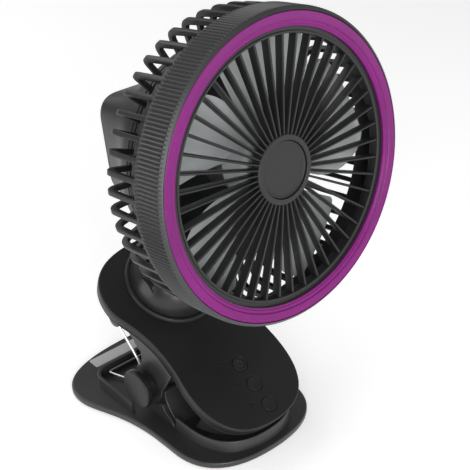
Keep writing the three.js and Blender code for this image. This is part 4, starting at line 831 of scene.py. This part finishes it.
def lower_jaw():
    """Bell-shaped plate that carries the mouth's lip, the throat, the bearers and the spring's tray."""
    skin = Skin(BASE)
    steps = [(3, 0), (1.2, 0), (0.7, 0.05), (0.3, 0.3), (0.05, 0.8), (0, 1.2), (0, 3.2)]
    edge = 1.1
    steps += [(edge * (1 - math.cos(a)), 3.4 + edge * math.sin(a)) for a in np.linspace(0, math.pi / 2, 7)]
    steps += [(2.4, 4.5)]
    rings = [at_level(plan(LOWER, c) + (0, FRONT), z) for c, z in steps]
    skin.grid(rings, wrap_j=True)
    skin.cap(rings[0])
    skin.cap(rings[-1])
    ahead = (half_plan(MOUTH, 0)[:, 1] < MOUTH_REAR - MOUTH_AT).sum() - 1

    def lip(cut, z):
        p = half_plan(MOUTH, cut)[:ahead] + (0, MOUTH_AT)
        p = np.vstack([p, [(p[-1, 0], MOUTH_REAR)]])
        return at_level(np.vstack([(p[1:] * (-1, 1))[::-1], p]), z)

    section = fillet([(0, FOOT_Z), (0.1, 5.5), (1.2, 12.5), (2.6, 12.5), (2.6, FOOT_Z)],
                     [0, 1, 0.5, 0.4, 0], 4)
    rows = np.array([lip(cut, z) for cut, z in section])
    skin.grid(rows, wrap_i=True)
    skin.cap(rows[:, 0])
    skin.cap(rows[:, -1])
    up = bezier((-23, FOOT_Z), (-20, 10), (-10.7, 13), (-10.2, 25), 24)
    down = bezier((-7.2, 25), (-7.2, 12), (-16, 9), (-18, FOOT_Z), 16)
    throat = np.vstack([up, [(-10.2, 24.4), (-9.6, 25), (-7.8, 25)], down])
    prism(skin, throat, -36.1, 36.1, 0.4, axis="x")
    for hand in (-1, 1):
        slope = fillet([(-10.9, 16.2), (-7.3, 14.6), (0, 10.9), (8, 10.7), (14, 9.5), (20, FOOT_Z)],
                       [0.6, 3, 6, 3, 3, 0], 4, closed=False)
        cheek = np.vstack([bezier((-23, FOOT_Z), (-20, 10), (-11.5, 10.5), (-10.9, 16), 20), slope])
        prism(skin, cheek, *sorted((hand * 36.1, hand * 39.2)), 0.4, axis="x")
        arc = np.linspace(math.pi * 0.93, 0, 24)
        crown = np.stack([PIVOT[0] + BEARER_R * np.cos(arc), PIVOT[1] + BEARER_R * np.sin(arc)], -1)
        bearer = np.vstack([[(-14, FOOT_Z), (-8.7, 14)], crown, [(18.6, FOOT_Z)]])
        prism(skin, bearer, *sorted((hand * 22.5, hand * 25.5)), 0.4, axis="x")
    outer = fillet([(-51, 8), (-51, 56), (51, 56), (51, 8)], [0, 12, 12, 0], 12)
    inner = fillet([(48.4, 8), (48.4, 53.4), (-48.4, 53.4), (-48.4, 8)], [0, 9.4, 9.4, 0], 12)
    prism(skin, np.vstack([outer, inner]), FOOT_Z, 11.8, 0.5, low_edge=0.05)
    return make(skin, "jaw_base", "lower_jaw_body", CLIP_LIT, "lower_jaw")


def lower_pad():
    """Grip that follows the inside of the mouth's lip."""
    skin = Skin(BASE)

    def arc(cut):
        p = half_plan(MOUTH, cut)
        p = p[p[:, 1] < 26] + (0, MOUTH_AT)
        return np.vstack([(p[1:] * (-1, 1))[::-1], p])

    prism(skin, np.vstack([arc(2.9), arc(8.9)[::-1]]), 4.8, 11.5, 0.4)
    return make(skin, "grip_low", "lower_jaw_body", RUBBER, "lower_pad")


def upper_pad():
    """Wedge under the jaw's front: its foot is level with the table, its top follows the floor."""
    skin, foot_height = Skin(JAW), 12.8

    def arc(cut):
        p = half_plan(UPPER, cut)
        p = p[p[:, 1] < 30]
        return np.vstack([(p[1:] * (-1, 1))[::-1], p])

    def foot(q):
        return (foot_height - JAW[0][2] - q[:, 1] * math.sin(SLOPE)) / math.cos(SLOPE)

    loop = np.vstack([arc(5.1), arc(12.5)[::-1]])
    rings = []
    for cut, lift in ((0.9, 0), (0.5, 0.0), (0.15, 0.15), (0, 0.5)):
        q = inset(loop, cut)
        rings.append(np.column_stack([q, foot(q) + lift]))
    rings.append(at_level(loop, -11.8))
    skin.grid(rings, wrap_j=True)
    skin.cap(rings[0])
    skin.cap(rings[-1])
    return make(skin, "grip_high", "upper_jaw_body", RUBBER, "upper_pad")


def pivot_cap(hand):
    """Thick disc with a soft rim on a short collar, turned about the pivot's axis."""
    skin = Skin(BASE)
    profile = fillet(
        [(0, 47.2), (2.8, 47.2), (2.8, 39.5), (9.6, 39.5), (9.6, 45.4), (13.6, 45.4), (13.6, 50), (0, 50)],
        [0, 0, 0, 0.3, 0.3, 0.8, 1.1, 0], 5, closed=False)
    revolve(skin, profile * (1, hand), 120, closed=False, axis="x", centre=(0, *PIVOT))
    side = "left" if hand < 0 else "right"
    return make(skin, f"cap_{side}", "lower_jaw_body", CLIP, f"pivot_cap_{side}")


# ---- clip spring -----------------------------------------------------------------------
def spring():
    """Round wire: leg from the lug, nearly three curls round the pivot, and a flat run to the cross bar."""
    radius, outside, pitch, wire = 7.8, -35.4, 2.5, 1.7
    lean, tray = 37 * RAD, 7.6          # of the leg behind the pivot, and height of the cross bar
    lug = place([0, LUG_S, LUG_N], JAW) / MM
    to = np.array([-41.5, lug[1] + 3.6, lug[2] - 2.4])
    dy, dz = to[1] - PIVOT[0], to[2] - PIVOT[1]
    start = math.atan2(dz, dy) - math.acos(radius / math.hypot(dy, dz))
    stop = lean - 6 * math.pi
    turned = np.linspace(0, start - stop, 110)
    a = start - turned
    coil = np.stack([outside + pitch * turned / (2 * math.pi), PIVOT[0] + radius * np.cos(a),
                     PIVOT[1] + radius * np.sin(a)], -1)
    via = coil[0] + (to - coil[0]) * 0.3
    via[0] = outside - 0.3
    near = to + (coil[0] - to) * 0.06
    last = coil[-1]
    down = (last[2] - tray) / math.cos(lean)
    foot = np.array([last[0] - 2, last[1] + down * math.sin(lean), tray])
    corner, middle = np.array([-39, 51.4, tray]), np.array([0, 51.4, tray])

    def bend(before, at, after, reach):
        u, v = (before - at) / np.linalg.norm(before - at), (after - at) / np.linalg.norm(after - at)
        p, q, t = at + u * reach, at + v * reach, np.linspace(0, 1, 10)[:, None]
        return (1 - t) ** 2 * p + 2 * t * (1 - t) * at + t * t * q

    leg = np.vstack([to + (near - to) * t for t in np.linspace(0, 1, 4)[:-1]]
                    + [bend(near + (near - via) * 0.01, via, coil[0], 2.5)])
    left = np.vstack([leg, coil, bend(last, foot, corner, 4.5), bend(foot, corner, middle, 3)])
    path = np.vstack([left, [middle], (left * (-1, 1, 1))[::-1]])
    skin = Skin(BASE)
    way = np.gradient(path, axis=0)
    way /= np.linalg.norm(way, axis=1, keepdims=True)
    side, rings = np.array([1.0, 0, 0]), []
    angle = np.linspace(0, 2 * math.pi, 14, endpoint=False)[:, None]
    for p, w in zip(path, way):
        side = side - w * (side @ w)
        side /= np.linalg.norm(side)
        up = np.cross(w, side)
        rings.append(p + wire / 2 * (np.cos(angle) * side + np.sin(angle) * up))
    skin.grid(rings, wrap_j=True)
    skin.cap(rings[0])
    skin.cap(rings[-1])
    obj = make(skin, "wire_spring", None, WIRE_METAL, "clip_spring", 60)
    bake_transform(obj)
    return obj


def bare_plate():
    """Thin blank plate on the rear of the lower jaw."""
    skin = Skin(BASE)
    loop = fillet([(-40, 64), (40, 64), (40, 74), (-40, 74)], 1.2, 5)
    prism(skin, loop, 4.3, 4.75, 0.12, low_edge=0.02)
    return make(skin, "blank_plate", "lower_jaw_body", PLATE)


for build in (band, trim, grille, cap, cage, motor_plate, housing, knuckle, rotor, dome, collar, top_shell,
              belly, lower_jaw, lower_pad, upper_pad, spring, bare_plate, power_sign):
    build()
for i in range(3):
    button(i)
    lamp(i)
for hand in (-1, 1):
    pivot_cap(hand)


# ---- stage -------------------------------------------------------------------------------
AIM = (0, -0.03, 0.14)
WORLD_LIGHT, FLOOR_LIFT = 0.3, 0.33
FLOOR_HALF, FLOOR_DROP = 6, 0.0004
LIGHTS = (      # name, place and side in metres, and power in watts
    ("key", (-0.8, -1.1, 0.75), 0.9, 10),
    ("side", (-1.2, 0.2, 0.2), 0.8, 4),
    ("low", (-0.45, -1.25, 0.25), 0.5, 5),
    ("fill", (0.9, -1.2, 0.5), 1.0, 4),
    ("rim", (-0.2, 1.2, 1.1), 1.0, 7),
    ("top", (-0.3, -0.2, 1.8), 0.8, 3),
)
SENSOR, FOCAL, PICTURE = 36, 1100, 470          # sensor in millimetres, the other two in pixels
EYE = (-0.38561, -0.46848, 0.50128)
LOOK = (0.5705, 0.6334, -0.5228)


def stage():
    """White floor, even world light and square lamps that face the fan."""
    mesh = bpy.data.meshes.new("floor")
    corners = [(x * FLOOR_HALF, y * FLOOR_HALF, -FLOOR_DROP) for x, y in ((-1, -1), (1, -1), (1, 1), (-1, 1))]
    mesh.from_pydata(corners, [], [(0, 1, 2, 3)])
    floor = bpy.data.objects.new("floor", mesh)
    bpy.context.scene.collection.objects.link(floor)
    mat = bpy.data.materials.new("floor_white")
    mat.use_nodes = True
    shader = mat.node_tree.nodes["Principled BSDF"]
    shader.inputs["Base Color"].default_value = (0.93, 0.93, 0.93, 1)
    shader.inputs["Roughness"].default_value = 0.9
    shader.inputs["Specular IOR Level"].default_value = 0.1
    shader.inputs["Emission Color"].default_value = (1, 1, 1, 1)
    mat.node_tree.links.new(seen(mat.node_tree, FLOOR_LIFT), shader.inputs["Emission Strength"])
    mesh.materials.append(mat)
    world = bpy.data.worlds.new("studio")
    bpy.context.scene.world = world
    world.use_nodes = True
    back = world.node_tree.nodes["Background"]
    back.inputs["Color"].default_value = (1, 1, 1, 1)
    back.inputs["Strength"].default_value = WORLD_LIGHT
    for name, at, size, power in LIGHTS:
        data = bpy.data.lights.new(name, "AREA")
        data.size, data.energy = size, power
        light = bpy.data.objects.new(name, data)
        light.location = at
        light.rotation_euler = (Vector(AIM) - Vector(at)).to_track_quat("-Z", "Y").to_euler()
        bpy.context.scene.collection.objects.link(light)


def seen(tree, strength):
    """The given strength for the camera, reflections and see-through pieces, and none for its light."""
    path = tree.nodes.new("ShaderNodeLightPath")
    total = path.outputs["Is Camera Ray"]
    for other in ("Is Glossy Ray", "Is Transmission Ray"):
        both = node(tree, "ShaderNodeMath", operation="MAXIMUM")
        tree.links.new(total, both.inputs[0])
        tree.links.new(path.outputs[other], both.inputs[1])
        total = both.outputs["Value"]
    scaled = node(tree, "ShaderNodeMath", operation="MULTIPLY")
    tree.links.new(total, scaled.inputs[0])
    scaled.inputs[1].default_value = strength
    return scaled.outputs["Value"]


def camera():
    """The photograph's point of view."""
    data = bpy.data.cameras.new("camera")
    data.sensor_width, data.lens = SENSOR, FOCAL / PICTURE * SENSOR
    data.clip_end = 20
    cam = bpy.data.objects.new("camera", data)
    cam.location = EYE
    cam.rotation_euler = Vector(LOOK).to_track_quat("-Z", "Y").to_euler()
    bpy.context.scene.collection.objects.link(cam)
    bpy.context.scene.camera = cam


stage()
camera()
bpy.context.scene.view_settings.view_transform = "Standard"
